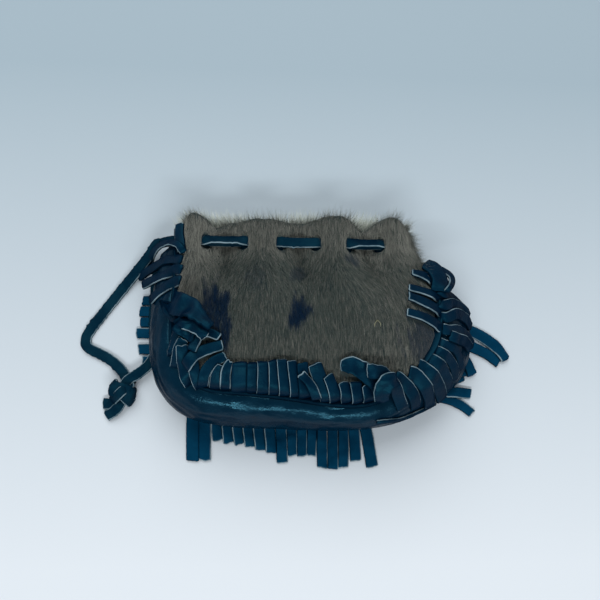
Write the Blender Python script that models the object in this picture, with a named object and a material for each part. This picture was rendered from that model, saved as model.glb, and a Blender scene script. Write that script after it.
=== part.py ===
"""Drawstring pouch of hair-on hide with a smooth leather gusset, lying on its back.

Frame: +X to the right across the mouth, +Y toward the mouth, +Z up out of the front panel.
All sizes below are in millimetres and the meshes are written in metres.
"""
import math

import bmesh
import bpy
import numpy as np
from mathutils import Vector
from mathutils.bvhtree import BVHTree

MM = 0.001

# Leather stock
HIDE = 1.3                 # hair-on hide of the front and back panels
GUSSET_LEATHER = 1.3       # smooth leather of the side strip
WELT_LEATHER = 1.2         # smooth leather of the two fringed welts
GAP = 0.3                  # space left between neighbouring pieces

# Fringe cut into the welts
CUT = 0.45                 # width of a cut
WELT_TUCK = 1.8            # welt width caught inside the seam
WELT_SHOW = 1.2            # uncut welt width outside the seam
FRONT_STEPS = 6            # segments along a front strip
BACK_STEPS = 5             # segments along a back strip

# Drawstring lace
LACE_WIDTH = 4.2
LACE = 1.2
LACE_Y = 39.5              # height on the panels at which the slits are cut
SLIT_LENGTH = 7.0          # slit size along Y
SLIT_WIDTH = 4.8           # slit opening along X when gathered

# Mouth gathers: slit centres, and gather crests and valleys between them
SLITS = (-50.2, -34.2, -19.2, -3.9, 10.1, 22.7)
FOLDS = (-57.6, -42.2, -26.7, -11.6, 3.1, 16.4, 29.0)
FRONT_GATHER = 4.4         # half height of a gather in the front panel
BACK_GATHER = 4.0          # half height of a gather in the back panel
FRONT_MOUTH = 16.5         # middle height of the front panel along the drawstring
BACK_MOUTH = 6.0           # middle height of the back panel along the drawstring
LACE_RISE = 0.7            # how far the lace follows a gather
CROWN = 7.5                # swell of the front panel over its seam

# Seam lines from the left end of the mouth round the bottom to the right end
FRONT_SEAM = (
    (-61.5, 44.5, 15.5), (-61.3, 36.0, 17.5), (-60.8, 26.0, 20.5), (-60.6, 15.0, 23.5),
    (-61.0, 4.0, 26.0), (-59.8, -8.0, 27.0), (-55.0, -17.5, 27.0), (-46.0, -22.6, 27.0),
    (-33.0, -23.8, 27.5), (-16.0, -25.6, 28.0), (3.0, -28.2, 28.0), (15.5, -27.4, 27.5),
    (25.0, -22.6, 27.0), (34.0, -14.6, 26.5), (41.5, -5.5, 25.5), (44.6, 5.0, 24.0),
    (44.4, 16.0, 22.0), (41.6, 27.5, 19.0), (38.4, 36.5, 16.5), (36.6, 44.5, 15.5))
BACK_SEAM = (
    (-63.5, 46.5, 7.0), (-65.2, 38.0, 5.2), (-66.8, 27.0, 3.4), (-67.8, 15.0, 2.9),
    (-68.4, 3.0, 2.9), (-67.6, -9.0, 2.9), (-63.4, -21.0, 2.9), (-54.0, -29.0, 2.9),
    (-38.0, -32.6, 2.9), (-18.0, -34.2, 2.9), (2.0, -34.4, 2.9), (20.0, -32.6, 2.9),
    (37.0, -28.4, 2.9), (50.0, -21.4, 2.9), (58.6, -11.0, 2.9), (61.6, 1.5, 2.9),
    (59.6, 14.0, 2.9), (53.6, 26.0, 3.4), (46.4, 37.0, 5.2), (41.0, 46.5, 7.0))
# Mouth edges between the seam ends
FRONT_MOUTH_EDGE = (
    (-61.5, 44.5), (-57.6, 50.3), (-50.2, 48.8), (-42.2, 45.4), (-34.2, 46.8), (-26.7, 48.2),
    (-11.6, 46.6), (3.1, 50.4), (10.1, 48.8), (16.4, 45.0), (22.7, 48.6), (29.0, 50.8),
    (33.4, 48.8), (36.6, 44.5))
BACK_MOUTH_EDGE = (
    (-63.5, 46.5), (-57.6, 50.0), (-42.2, 49.6), (-26.7, 50.6), (-11.6, 50.2), (3.1, 51.4),
    (16.4, 50.4), (29.0, 51.0), (36.0, 49.4), (41.0, 46.5))
CORNERS = (0.285, 0.70)    # where the side seams turn into the bottom seam, along the seam

# Gusset
GUSSET_COLUMNS = 50
# along the seam: bulge next to the back seam, bulge next to the front seam
GUSSET_BULGE = ((0.0, 5.0, 2.0), (0.1, 9.0, 5.5), (0.3, 11.0, 6.0), (0.45, 9.5, 5.0),
                (0.62, 9.5, 5.0), (0.78, 8.0, 4.5), (0.92, 6.0, 3.5), (1.0, 4.0, 2.0))
# lengthwise folds of the gusset: position along the seam, spread, row, depth
GUSSET_FOLDS = ((0.36, 0.03, 0.80, 1.1), (0.55, 0.10, 0.42, 0.9), (0.20, 0.05, 0.35, 0.7),
                (0.68, 0.04, 0.55, 0.8), (0.44, 0.05, 0.25, 0.6))


def smooth_line(points, count):
    """Points spaced evenly by length along a smooth curve through the given points."""
    p = np.array(points, float)
    padded = np.vstack([2 * p[0] - p[1], p, 2 * p[-1] - p[-2]])
    dense = []
    for k in range(len(p) - 1):
        a, b, c, d = padded[k:k + 4]
        for t in np.arange(0.0, 1.0, 0.05):
            dense.append(0.5 * (2 * b + (c - a) * t + (2 * a - 5 * b + 4 * c - d) * t ** 2
                                + (3 * b - a - 3 * c + d) * t ** 3))
    dense.append(p[-1])
    dense = np.array(dense)
    walked = np.concatenate([[0.0], np.cumsum(np.linalg.norm(np.diff(dense, axis=0), axis=1))])
    wanted = np.linspace(0.0, walked[-1], count)
    return np.column_stack([np.interp(wanted, walked, dense[:, k]) for k in range(p.shape[1])])


def unit(v):
    """The vector scaled to length one."""
    v = np.asarray(v, float)
    return v / max(np.linalg.norm(v), 1e-9)


def ease(t):
    """Smooth step from 0 to 1."""
    t = min(max(t, 0.0), 1.0)
    return t * t * (3 - 2 * t)


UP = np.array([0.0, 0.0, 1.0])


class Seam:
    """A seam line with its running direction and its outward horizontal direction."""

    def __init__(self, points):
        self.points = smooth_line(points, 801)
        steps = np.linalg.norm(np.diff(self.points, axis=0), axis=1)
        self.length = float(steps.sum())

    def at(self, s):
        k = min(max(s, 0.0), 1.0) * 800
        i = min(int(k), 799)
        return self.points[i] + (self.points[i + 1] - self.points[i]) * (k - i)

    def along(self, s):
        return unit(self.at(s + 0.004) - self.at(s - 0.004))

    def outward(self, s):
        t = self.at(s + 0.012) - self.at(s - 0.012)
        return unit([t[1], -t[0], 0.0])


class Sheet:
    """A leather sheet collected as middle-surface points with normals, then given thickness."""

    def __init__(self, thickness):
        self.thickness = thickness
        self.points = []
        self.normals = []
        self.faces = []

    def add(self, point, normal):
        self.points.append(np.array(point, float))
        self.normals.append(unit(normal))
        return len(self.points) - 1

    def grid(self, points, normals, holes=()):
        """A grid of points; cells listed in holes as (column, row) are left open."""
        index = [[self.add(p, n) for p, n in zip(prow, nrow)]
                 for prow, nrow in zip(points, normals)]
        for i in range(len(index) - 1):
            for j in range(len(index[0]) - 1):
                if (i, j) not in holes:
                    self.faces.append((index[i][j], index[i + 1][j],
                                       index[i + 1][j + 1], index[i][j + 1]))
        return index

    def solid(self):
        """Vertices and faces of the closed solid."""
        half = self.thickness / 2
        count = len(self.points)
        verts = [p + n * half for p, n in zip(self.points, self.normals)]
        verts += [p - n * half for p, n in zip(self.points, self.normals)]
        faces = [tuple(f) for f in self.faces]
        faces += [tuple(count + v for v in reversed(f)) for f in self.faces]
        edges = {(f[k], f[(k + 1) % len(f)]) for f in self.faces for k in range(len(f))}
        for a, b in sorted(edges):
            if (b, a) not in edges:
                faces.append((b, a, count + a, count + b))
        return verts, faces


def grid_normals(points):
    """Normals of a grid surface from its neighbouring points."""
    p = np.array(points)
    du = np.gradient(p, axis=0)
    dv = np.gradient(p, axis=1)
    n = np.cross(du, dv)
    return n / np.maximum(np.linalg.norm(n, axis=2, keepdims=True), 1e-9)


def gather(x):
    """Gather wave along the mouth: 1 on a crest, -1 in a valley."""
    if x <= FOLDS[0]:
        return math.cos(math.pi * (FOLDS[0] - x) / 15.0)
    for k in range(len(FOLDS) - 1):
        if x <= FOLDS[k + 1]:
            t = (x - FOLDS[k]) / (FOLDS[k + 1] - FOLDS[k])
            return math.cos(math.pi * t) * (1 if k % 2 == 0 else -1)
    return math.cos(math.pi * (x - FOLDS[-1]) / 15.0)


def column_lines():
    """Positions across the mouth of the panel columns, with the slit columns among them."""
    stops = [-61.5]
    half = SLIT_WIDTH / 2
    for k, x in enumerate(SLITS):
        stops += [FOLDS[k] - 0.01, x - half, x, x + half]
    stops += [FOLDS[-1], 36.6]
    lines = [stops[0]]
    for a, b in zip(stops, stops[1:]):
        parts = 2 if b - a > 3.6 else 1
        lines += [a + (b - a) * (q + 1) / parts for q in range(parts)]
    return np.array(lines)


COLUMNS = column_lines()
SLIT_COLUMNS = [int(np.argmin(np.abs(COLUMNS - x))) for x in SLITS]


def panel_grid(seam, edge, offset, low_end, fractions, heights, height, cut_at):
    """Grid from the bottom seam to the mouth: sides follow the seam, rows sit at set heights."""
    left_end, right_end = CORNERS
    top = smooth_line(edge, 400)
    grid = []
    for x in COLUMNS:
        u = (x - COLUMNS[0]) / (COLUMNS[-1] - COLUMNS[0])
        mouth_x = top[0, 0] + u * (top[-1, 0] - top[0, 0])
        mouth = np.array([mouth_x, float(np.interp(mouth_x, top[:, 0], top[:, 1])), 0.0])
        line = []
        for v in np.linspace(0.0, 1.0, 61):
            s_left = left_end * (1 - v)
            s_right = right_end + (1 - right_end) * v
            s_low = left_end + (right_end - left_end) * u
            left = seam.at(s_left) + offset(s_left)
            right = seam.at(s_right) + offset(s_right)
            low = seam.at(s_low) + offset(s_low)
            corner_l = seam.at(left_end) + offset(left_end)
            corner_r = seam.at(right_end) + offset(right_end)
            end_l = seam.at(0.0) + offset(0.0)
            end_r = seam.at(1.0) + offset(1.0)
            high = mouth + (1 - u) * (end_l - np.array([top[0, 0], top[0, 1], 0.0]))
            high = high + u * (end_r - np.array([top[-1, 0], top[-1, 1], 0.0]))
            side = (1 - u) * left + u * right
            cross = (1 - v) * low + v * high
            base = (1 - v) * ((1 - u) * corner_l + u * corner_r) + v * ((1 - u) * end_l + u * end_r)
            line.append(side + cross - base)
        line = np.array(line)
        wanted = [line[0, 1] + f * (low_end - line[0, 1]) for f in fractions]
        wanted += list(heights) + [line[-1, 1]]
        points = np.column_stack([np.interp(wanted, line[:, 1], line[:, k]) for k in range(3)])
        held = min(ease(u * 10), ease((1 - u) * 10))
        for p in points:
            p[0] += (x - p[0]) * ease((p[1] - 24.0) / 8.0) * held
        grid.append([height(p, u, row) for row, p in enumerate(points)])
    grid = np.array(grid)
    first = len(fractions) + len(heights) - 4
    slit_rows = [first + k for k in range(4)]
    for c in cut_at:
        for r in (slit_rows[0], slit_rows[3]):
            for side in (-1, 1):
                grid[c + side, r] += (grid[c, r] - grid[c + side, r]) * 0.75
    holes = {(c + side, r) for c in cut_at for side in (-1, 0) for r in slit_rows[:3]}
    return grid, holes


SLIT_ROWS = (LACE_Y - SLIT_LENGTH / 2, LACE_Y - SLIT_LENGTH / 2 + 1.0,
             LACE_Y + SLIT_LENGTH / 2 - 1.0, LACE_Y + SLIT_LENGTH / 2)


def finish(name, verts, faces, material, smooth=True):
    """One closed object in metres with its own material."""
    mesh = bpy.data.meshes.new(name)
    mesh.from_pydata([tuple(np.asarray(v) * MM) for v in verts], [], faces)
    bm = bmesh.new()
    bm.from_mesh(mesh)
    bmesh.ops.recalc_face_normals(bm, faces=bm.faces)
    bm.to_mesh(mesh)
    bm.free()
    for polygon in mesh.polygons:
        polygon.use_smooth = smooth
    obj = bpy.data.objects.new(name, mesh)
    bpy.context.scene.collection.objects.link(obj)
    mesh.materials.append(material)
    return obj


def make_material(name, colour, roughness):
    """A plain Principled material."""
    material = bpy.data.materials.new(name)
    material.use_nodes = True
    shader = next(n for n in material.node_tree.nodes if n.type == 'BSDF_PRINCIPLED')
    shader.inputs['Base Color'].default_value = (*colour, 1.0)
    shader.inputs['Roughness'].default_value = roughness
    return material


class Ground:
    """What a laid strip rests on: the table and every solid added so far."""

    def __init__(self):
        self.verts = []
        self.faces = []
        self.tree = None

    def put(self, verts, faces):
        start = len(self.verts)
        self.verts += [Vector(v) for v in verts]
        self.faces += [tuple(start + k for k in f) for f in faces]
        self.tree = BVHTree.FromPolygons(self.verts, self.faces, epsilon=0.0)

    def height(self, x, y, clearance, below):
        """Height at which something may lie, with the given clearance, over what is found
        under the height below."""
        hit = self.tree.ray_cast(Vector((x, y, below)), Vector((0, 0, -1)))
        if hit[0] is None:
            return clearance
        steep = max(abs(hit[1].z), 0.6)
        return hit[0].z + clearance / steep

    def push(self, spots, clearance):
        """The shortest move that takes the spots clear of every solid."""
        move = np.zeros(3)
        for _ in range(4):
            worst = 0.0
            for spot in spots:
                q = Vector(spot + move)
                place, normal, _, gap = self.tree.find_nearest(q)
                away = q - place
                inside = away.dot(normal) < 0
                short = clearance + gap if inside else clearance - gap
                if short > worst:
                    worst = short
                    way = normal if inside or gap < 1e-6 else away / gap
            if worst < 0.01:
                break
            move = move + np.array(way) * worst
        return move


def bezier(a, b, c, d, count):
    t = np.linspace(0.0, 1.0, count)[:, None]
    return (1 - t) ** 3 * a + 3 * (1 - t) ** 2 * t * b + 3 * (1 - t) * t ** 2 * c + t ** 3 * d


def even_steps(line, steps):
    """The line again with its points spaced evenly by length."""
    walked = np.concatenate([[0], np.cumsum(np.linalg.norm(np.diff(line, axis=0), axis=1))])
    even = np.linspace(0, walked[-1], steps + 1)
    return np.column_stack([np.interp(even, walked, line[:, k]) for k in range(3)])


def lay_strip(base, out, across, tip, ground, bend, arch, width, steps, twist, over):
    """Left and right edge points and normals of one strip from its root to its tip.

    The strip leaves its welt along out, bends toward the tip and rests on whatever lies below
    it, one edge raised where that edge lies over the strip before. A strip that doesn't go
    over the bag stays below the bulge of the gusset.
    """
    half = WELT_LEATHER / 2
    top = 200.0 if over else 0.0
    floor = ground.height(tip[0], tip[1], half + GAP, top or base[2] + 1.0)
    tip = np.array([tip[0], tip[1], max(tip[2], floor)])
    way = tip - base
    arrive = unit([way[0], way[1], 0.0])
    reach = np.linalg.norm(way[:2])
    third = tip - arrive * reach * 0.45 + UP * arch
    line = even_steps(bezier(base, base + out * bend, third, tip, 25), steps)
    side = unit(across)
    left = [base - across * width / 2]
    right = [base + across * width / 2]
    for k in range(1, len(line)):
        t = unit(line[min(k + 1, len(line) - 1)] - line[k - 1])
        side = unit(side - t * (side @ t))
        turn = math.radians(twist) * ease(k / steps)
        turned = side * math.cos(turn) + np.cross(side, t) * math.sin(turn)
        a = line[k] - turned * width / 2
        b = line[k] + turned * width / 2
        middle = line[k].copy()
        wide = 1 + 2 * (GAP + 0.02) / width
        step = t * np.linalg.norm(line[1] - line[0]) / 2
        for edge in (a, b):
            spots = [middle + (edge - middle) * f + step * g
                     for f in (0.35, 0.7, wide) for g in (-1, 0, 1)]
            floor = max(ground.height(q[0], q[1], half + GAP, top or q[2] + 1.0) for q in spots)
            edge[2] = max(edge[2], floor)
        centre = ground.height(middle[0], middle[1], half + GAP, top or middle[2] + 1.0)
        lift = max(0.0, centre - (a[2] + b[2]) / 2)
        if not over:
            lift = max(lift, (left[-1][2] + right[-1][2] - a[2] - b[2]) / 2 - 0.9)
        a[2] += lift
        b[2] += lift
        move = ground.push([a, b, (a + b) / 2, a * 0.75 + b * 0.25, a * 0.25 + b * 0.75], half + GAP)
        a = a + move
        b = b + move
        sunk = max(0.0, half + 0.05 - min(a[2], b[2]))
        a[2] += sunk
        b[2] += sunk
        left.append(a)
        right.append(b)
    for side_line in (left, right):
        for _ in range(2):
            for k in range(2, len(side_line) - 1):
                level = (side_line[k - 1][2] + side_line[k + 1][2]) / 2
                side_line[k][2] = max(side_line[k][2], level)
    normals = []
    for k in range(len(line)):
        ahead = min(k + 1, len(line) - 1)
        before = max(k - 1, 0)
        t = out if k == 0 else unit(left[ahead] + right[ahead] - left[before] - right[before])
        normals.append(unit(np.cross(right[k] - left[k], t)))
    return left, right, normals


def welt(seam, out_at, strips, steps, ground, over_from):
    """A welt caught in the seam, with a strip cut into its outer edge for each row given."""
    sheet = Sheet(WELT_LEATHER)
    count = len(strips)
    half_cut = CUT / seam.length / 2
    lines = [0.0]
    for k in range(1, count):
        if strips[k] or strips[k - 1]:
            lines += [k / count - half_cut, k / count + half_cut]
        else:
            lines.append(k / count)
    lines.append(1.0)
    points = []
    normals = []
    for s in lines:
        out = out_at(s)
        points.append([seam.at(s) - out * WELT_TUCK, seam.at(s) + out * WELT_SHOW])
        normals.append([np.cross(seam.along(s), out)] * 2)
    index = sheet.grid(points, normals)
    for k, strip in enumerate(strips):
        if not strip:
            continue
        at = int(np.searchsorted(lines, k / count + half_cut * 0.5))
        a, b = index[at][1], index[at + 1][1]
        base = (sheet.points[a] + sheet.points[b]) / 2
        width = np.linalg.norm(sheet.points[b] - sheet.points[a])
        across = (sheet.points[b] - sheet.points[a]) / width
        left, right, norms = lay_strip(base, out_at((k + 0.5) / count), across, strip[:3],
                                       ground, strip[3], strip[4], width, steps, strip[5],
                                       strip[2] > 0.99 * over_from)
        alone = Sheet(WELT_LEATHER)
        alone.grid([left, right], [norms, norms])
        ground.put(*alone.solid())
        last = (a, b)
        for l, r, n in zip(left[1:], right[1:], norms[1:]):
            here = (sheet.add(l, n), sheet.add(r, n))
            sheet.faces.append((last[0], last[1], here[1], here[0]))
            last = here
    return sheet


def ribbon(path, widths, thickness, width):
    """A flat lace along a path with given width directions."""
    sheet = Sheet(thickness)
    last = None
    for k, point in enumerate(path):
        t = unit(path[min(k + 1, len(path) - 1)] - path[max(k - 1, 0)])
        side = unit(widths[k] - t * (widths[k] @ t))
        n = np.cross(side, t)
        here = (sheet.add(point - side * width / 2, n), sheet.add(point + side * width / 2, n))
        if last:
            sheet.faces.append((last[0], last[1], here[1], here[0]))
        last = here
    return sheet


# Start from an empty scene
for existing in list(bpy.data.objects):
    bpy.data.objects.remove(existing, do_unlink=True)

front_seam = Seam(FRONT_SEAM)
back_seam = Seam(BACK_SEAM)
stack = (HIDE + WELT_LEATHER) / 2 + GAP
gusset_stack = (GUSSET_LEATHER + WELT_LEATHER) / 2 + GAP


def front_out(s):
    return unit(front_seam.outward(s) + UP)


def front_inner(s):
    """From the seam to the edge of the front panel."""
    return unit(UP - front_seam.outward(s)) * stack


def back_out(s):
    return back_seam.outward(s)


# Front panel: hair-on hide, crowned, gathered along the mouth
SIDE_FADE = 4.0            # over this width next to the seam ends the gathers die away


def front_height(p, u, row):
    along = ease((p[1] + 30.0) / 34.0) * (1 - ease((p[1] - 8.0) / 36.0) * 0.93)
    crown = CROWN * (1 - (2 * u - 1) ** 4) * along
    near = min(ease((p[0] - COLUMNS[0] - WELT_TUCK) / SIDE_FADE),
               ease((COLUMNS[-1] - p[0] - WELT_TUCK) / SIDE_FADE))
    wave = FRONT_GATHER * gather(p[0]) * ease((p[1] - 8.0) / 26.0) * near
    mouth = ease((p[1] - 20.0) / 16.0) * near
    level = p[2] + crown
    level = level + (FRONT_MOUTH - level) * mouth
    return np.array([p[0], p[1], level + wave])


front_grid, front_holes = panel_grid(
    front_seam, FRONT_MOUTH_EDGE, front_inner, 31.5,
    (0.0, 0.06, 0.16, 0.32, 0.52, 0.76, 1.0), SLIT_ROWS, front_height, SLIT_COLUMNS)
front_sheet = Sheet(HIDE)
front_sheet.grid(front_grid, grid_normals(front_grid), front_holes)

# Back panel: hair-on hide, flat where the pouch rests


def back_inner(s):
    return -UP * stack


def back_gather(x):
    """Gathers of the back panel: its valleys face the crests of the front panel."""
    return 1.0 if x < FOLDS[1] else -gather(x)


def back_height(p, u, row):
    near = min(ease((p[0] + 63.5 - WELT_TUCK) / 6.0), ease((41.0 - p[0] - WELT_TUCK) / 6.0))
    wave = BACK_GATHER * back_gather(p[0]) * near * ease((p[1] - 22.0) / 12.0)
    mouth = ease((p[1] - 22.0) / 13.0) * near
    lowest = HIDE / 2
    inner = min(ease(u * 7.0), ease((1 - u) * 7.0))
    rows_in = 1.0 if row >= 2 else (0.0 if row == 0 else 0.7)
    level = p[2] + (lowest - p[2]) * inner * rows_in
    level = level + (BACK_MOUTH - level) * mouth
    return np.array([p[0], p[1], max(level + wave, lowest)])


back_grid, back_holes = panel_grid(
    back_seam, BACK_MOUTH_EDGE, back_inner, 22.0,
    (0.0, 0.12, 0.30, 0.65, 1.0), (29.0,) + SLIT_ROWS, back_height, SLIT_COLUMNS[1:])
back_sheet = Sheet(HIDE)
back_sheet.grid(back_grid, grid_normals(back_grid), back_holes)

# Gusset: smooth leather side strip that bulges between the two seams
bulges = np.array(GUSSET_BULGE)


def gusset_point(s, r):
    """Point of the gusset at fraction s along the seam and r from back seam to front seam."""
    low = back_seam.at(s) + UP * gusset_stack
    high = front_seam.at(s) + unit(front_seam.outward(s) - UP) * gusset_stack
    out_low = back_seam.outward(s)
    out_high = front_seam.outward(s)
    b1 = np.interp(s, bulges[:, 0], bulges[:, 1])
    b2 = np.interp(s, bulges[:, 0], bulges[:, 2])
    rise = high[2] - low[2]
    c1 = low + out_low * b1 + UP * 0.18 * rise
    c2 = high + out_high * b2 - UP * 0.42 * rise
    p = (1 - r) ** 3 * low + 3 * (1 - r) ** 2 * r * c1 + 3 * (1 - r) * r ** 2 * c2 + r ** 3 * high
    for at, spread, row, depth in GUSSET_FOLDS:
        reach = math.exp(-((s - at) / spread) ** 2 - ((r - row) / 0.11) ** 2)
        p = p - out_low * depth * reach
    return p


gusset_lines = np.concatenate([[0.0, 0.012, 0.0245], np.linspace(0.037, 1.0, GUSSET_COLUMNS - 2)])
gusset_rows = np.array([0.0, 0.07, 0.20, 0.40, 0.65, 0.80, 0.92, 1.0])
gusset_grid = np.array([[gusset_point(s, r) for r in gusset_rows] for s in gusset_lines])
gusset_holes = {(i, j) for i in (1, 2) for j in (2, 3)}
gusset_sheet = Sheet(GUSSET_LEATHER)
gusset_sheet.grid(gusset_grid, grid_normals(gusset_grid), gusset_holes)

# Drawstring: one flat lace woven through the slits of both panels, out at the left
FLAT = np.array([0.0, 1.0, 0.0])


def lace_widths(path):
    """Width directions of a lace lying flat, square to its path."""
    widths = []
    side = FLAT
    for k in range(len(path)):
        t = path[min(k + 1, len(path) - 1)] - path[max(k - 1, 0)]
        level = np.array([t[0], t[1], 0.0])
        if np.linalg.norm(level) > 0.5 * np.linalg.norm(t):
            flat = unit(np.cross(UP, level))
            side = flat if flat @ side >= 0 else -flat
        widths.append(side)
    return widths


EXIT_AT = (0.0245, 0.41)   # middle of the gusset hole: along the seam, from back to front seam
weave_x = np.arange(FOLDS[0] + 3.3, 30.5, 3.6)
front_weave = [(x, LACE_Y, FRONT_MOUTH + LACE_RISE * gather(x)) for x in weave_x]
back_weave = [(x, LACE_Y, BACK_MOUTH - LACE_RISE * gather(x))
              for x in weave_x[::-1] if x > FOLDS[1] + 1.0]
way_out = gusset_point(*EXIT_AT)
LEAVE = unit([-1.0, -0.12, -0.40])
woven = smooth_line([way_out + LEAVE * 2.4, way_out, way_out - LEAVE * 2.4,
                     (-61.0, 40.0, 12.0), (-57.6, 39.6, 14.6)] + front_weave
                    + [(32.4, LACE_Y, 15.2), (33.9, LACE_Y, 11.6), (32.2, LACE_Y, 7.2)]
                    + back_weave
                    + [(-45.0, 39.4, 5.4), (-52.0, 39.2, 3.4), (-58.5, 38.9, 2.0),
                       (-64.5, 37.6, 1.2), (-69.2, 34.0, 0.75), (-71.4, 28.0, 0.65),
                       (-71.8, 18.0, 0.65), (-71.8, 8.0, 0.65), (-71.4, 1.0, 0.65)], 86)
lace_sheet = ribbon(woven, lace_widths(woven), LACE, LACE_WIDTH)

# The free loop, lying on the table, from the mouth round to the knot and back to the bag
KNOT = np.array([-82.9, -22.3, 0.0])
KNOT_AXIS = unit([-0.35, -0.94, 0.0])


def through_knot(height):
    return [KNOT + KNOT_AXIS * a + UP * height for a in (-5.0, -2.0, 2.0, 5.0)]


upper_points = ([way_out + LEAVE * 2.9, way_out + LEAVE * 4.4,
                 (-74.6, 35.2, 5.6), (-80.6, 28.2, 2.2), (-87.4, 19.2, 0.9),
                 (-94.0, 9.8, 0.65), (-98.2, 3.4, 0.65), (-99.6, -0.4, 0.7), (-98.6, -3.6, 0.8),
                 (-94.6, -5.8, 0.8), (-89.6, -8.4, 1.0), (-85.0, -12.2, 1.5)]
                + through_knot(2.1) + [(-87.4, -28.2, 1.8), (-90.4, -28.4, 1.3)])
upper_path = smooth_line(upper_points, 40)
upper_sheet = ribbon(upper_path, lace_widths(upper_path), LACE, LACE_WIDTH)
lower_points = ([(-71.3, 0.3, 0.65), (-71.1, -4.0, 0.65), (-71.8, -8.4, 1.0), (-75.0, -13.2, 3.2)]
                + through_knot(3.6) + [(-87.6, -29.4, 3.5), (-90.0, -30.4, 3.3)])
lower_path = smooth_line(lower_points, 24)
lower_sheet = ribbon(lower_path, lace_widths(lower_path), LACE, LACE_WIDTH)

# Knot: a bulged wrap pulled tight round both ends of the lace
WRAP_LENGTH = 6.6
WRAP_SIDES = 16


def wrap_ring(half_wide, half_high, along):
    """Points of one rounded ring of the wrap."""
    side = np.cross(UP, KNOT_AXIS)
    centre = KNOT + KNOT_AXIS * along + UP * 3.4
    ring = []
    for k in range(WRAP_SIDES):
        a = 2 * math.pi * (k + 0.5) / WRAP_SIDES
        c = math.copysign(abs(math.cos(a)) ** 0.7, math.cos(a))
        h = math.copysign(abs(math.sin(a)) ** 0.7, math.sin(a))
        ring.append(centre + side * half_wide * c + UP * half_high * h)
    return ring


def wrap_solid():
    """A closed barrel with a passage for the two lace ends."""
    outer = [(-0.5, 4.4, 3.0), (-0.3, 5.5, 3.3), (0.0, 5.8, 3.4), (0.3, 5.5, 3.3), (0.5, 4.4, 3.0)]
    inner = [(0.5, 3.5, 2.2), (-0.5, 3.5, 2.2)]
    rings = [wrap_ring(w, h, along * WRAP_LENGTH) for along, w, h in outer + inner]
    verts = [p for ring in rings for p in ring]
    faces = []
    for r in range(len(rings)):
        for k in range(WRAP_SIDES):
            a = r * WRAP_SIDES + k
            b = r * WRAP_SIDES + (k + 1) % WRAP_SIDES
            c = ((r + 1) % len(rings)) * WRAP_SIDES + (k + 1) % WRAP_SIDES
            d = ((r + 1) % len(rings)) * WRAP_SIDES + k
            faces.append((a, b, c, d))
    return verts, faces


# Fringed welts. A strip row gives: tip x, y, z, root bend, arch near the tip, twist in degrees.
FRONT_COUNT = 48
BACK_COUNT = 57
FRONT_STRIPS = {
    0: (-59.3, 45.7, 17.0, 2.5, 0.5, 0), 1: (-79.3, 27.2, 1.0, 8, 6, 0),
    2: (-75.7, 22.7, 3.0, 8, 4, 0), 3: (-73.0, 19.0, 6.0, 7, 3, 0), 4: (-71.2, 15.3, 9.0, 6, 2, 0),
    5: (-69.1, 12.1, 12.0, 5, 2, 0), 6: (-52.5, 9.5, 27.0, 5, 3, 0), 7: (-51.5, 4.2, 28.0, 5, 7, 0),
    8: (-48.2, -1.9, 29.0, 5, 3, 0), 9: (-49.3, -3.9, 29.0, 5, 5, 0),
    10: (-45.0, -5.5, 30.0, 5, 3, 0), 11: (-47.2, -8.3, 30.0, 5, 6, 0),
    12: (-42.6, -8.2, 30.0, 5, 4, 0), 13: (-41.4, -9.9, 31.0, 5, 3, 0),
    14: (-44.0, -13.0, 31.0, 5, 3, 0), 15: (-39.5, -12.9, 31.0, 5, 3, 0),
    16: (-38.3, -14.1, 31.0, 4, 3, 0), 17: (-35.3, -13.3, 31.0, 4, 3, 0),
    18: (-30.7, -13.6, 31.0, 4, 3, 0), 19: (-26.6, -12.8, 31.0, 4, 3, 0),
    20: (-22.4, -12.4, 31.0, 4, 3, 0), 21: (-18.2, -12.7, 31.0, 4, 3, 0),
    22: (-14.3, -13.0, 31.0, 4, 3, 0), 23: (-10.1, -13.8, 31.0, 4, 3, 0),
    24: (-6.3, -13.3, 31.0, 4, 3, 0), 25: (-11.0, -16.2, 32.0, 4, 5, 0),
    26: (-1.7, -15.2, 31.0, 4, 3, 0), 27: (2.2, -17.9, 31.0, 4, 3, 0),
    28: (6.1, -21.5, 30.0, 4, 2.5, 0), 29: (11.2, -21.1, 30.0, 4, 2.5, 0),
    30: (3.9, -14.6, 33.0, 6, 6, 50), 31: (19.1, -28.1, 22.0, 5, 2, 0),
    32: (27.8, -30.2, 20.0, 5, 2, 0), 33: (33.6, -29.6, 18.0, 6, 1.5, 0),
    34: (39.4, -27.9, 16.0, 6, 1.5, 0), 35: (45.1, -24.8, 14.0, 6, 1.5, 0),
    36: (50.0, -20.5, 12.0, 6, 1.5, 0), 37: (53.2, -15.5, 12.0, 6, 1.5, 0),
    38: (30.0, 7.7, 27.0, 5, 3, 0), 39: (30.8, 14.9, 26.0, 5, 3, 0),
    40: (31.6, 19.3, 25.0, 5, 3, 0), 41: (33.3, 25.1, 24.0, 5, 3, 0),
    42: (52.0, 20.8, 12.0, 6, 4, 0), 43: (53.0, 24.8, 12.0, 7, 6, 0),
    44: (50.2, 30.1, 12.0, 7, 7, 0), 45: (46.1, 32.8, 13.0, 6, 4, 0),
}
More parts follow.
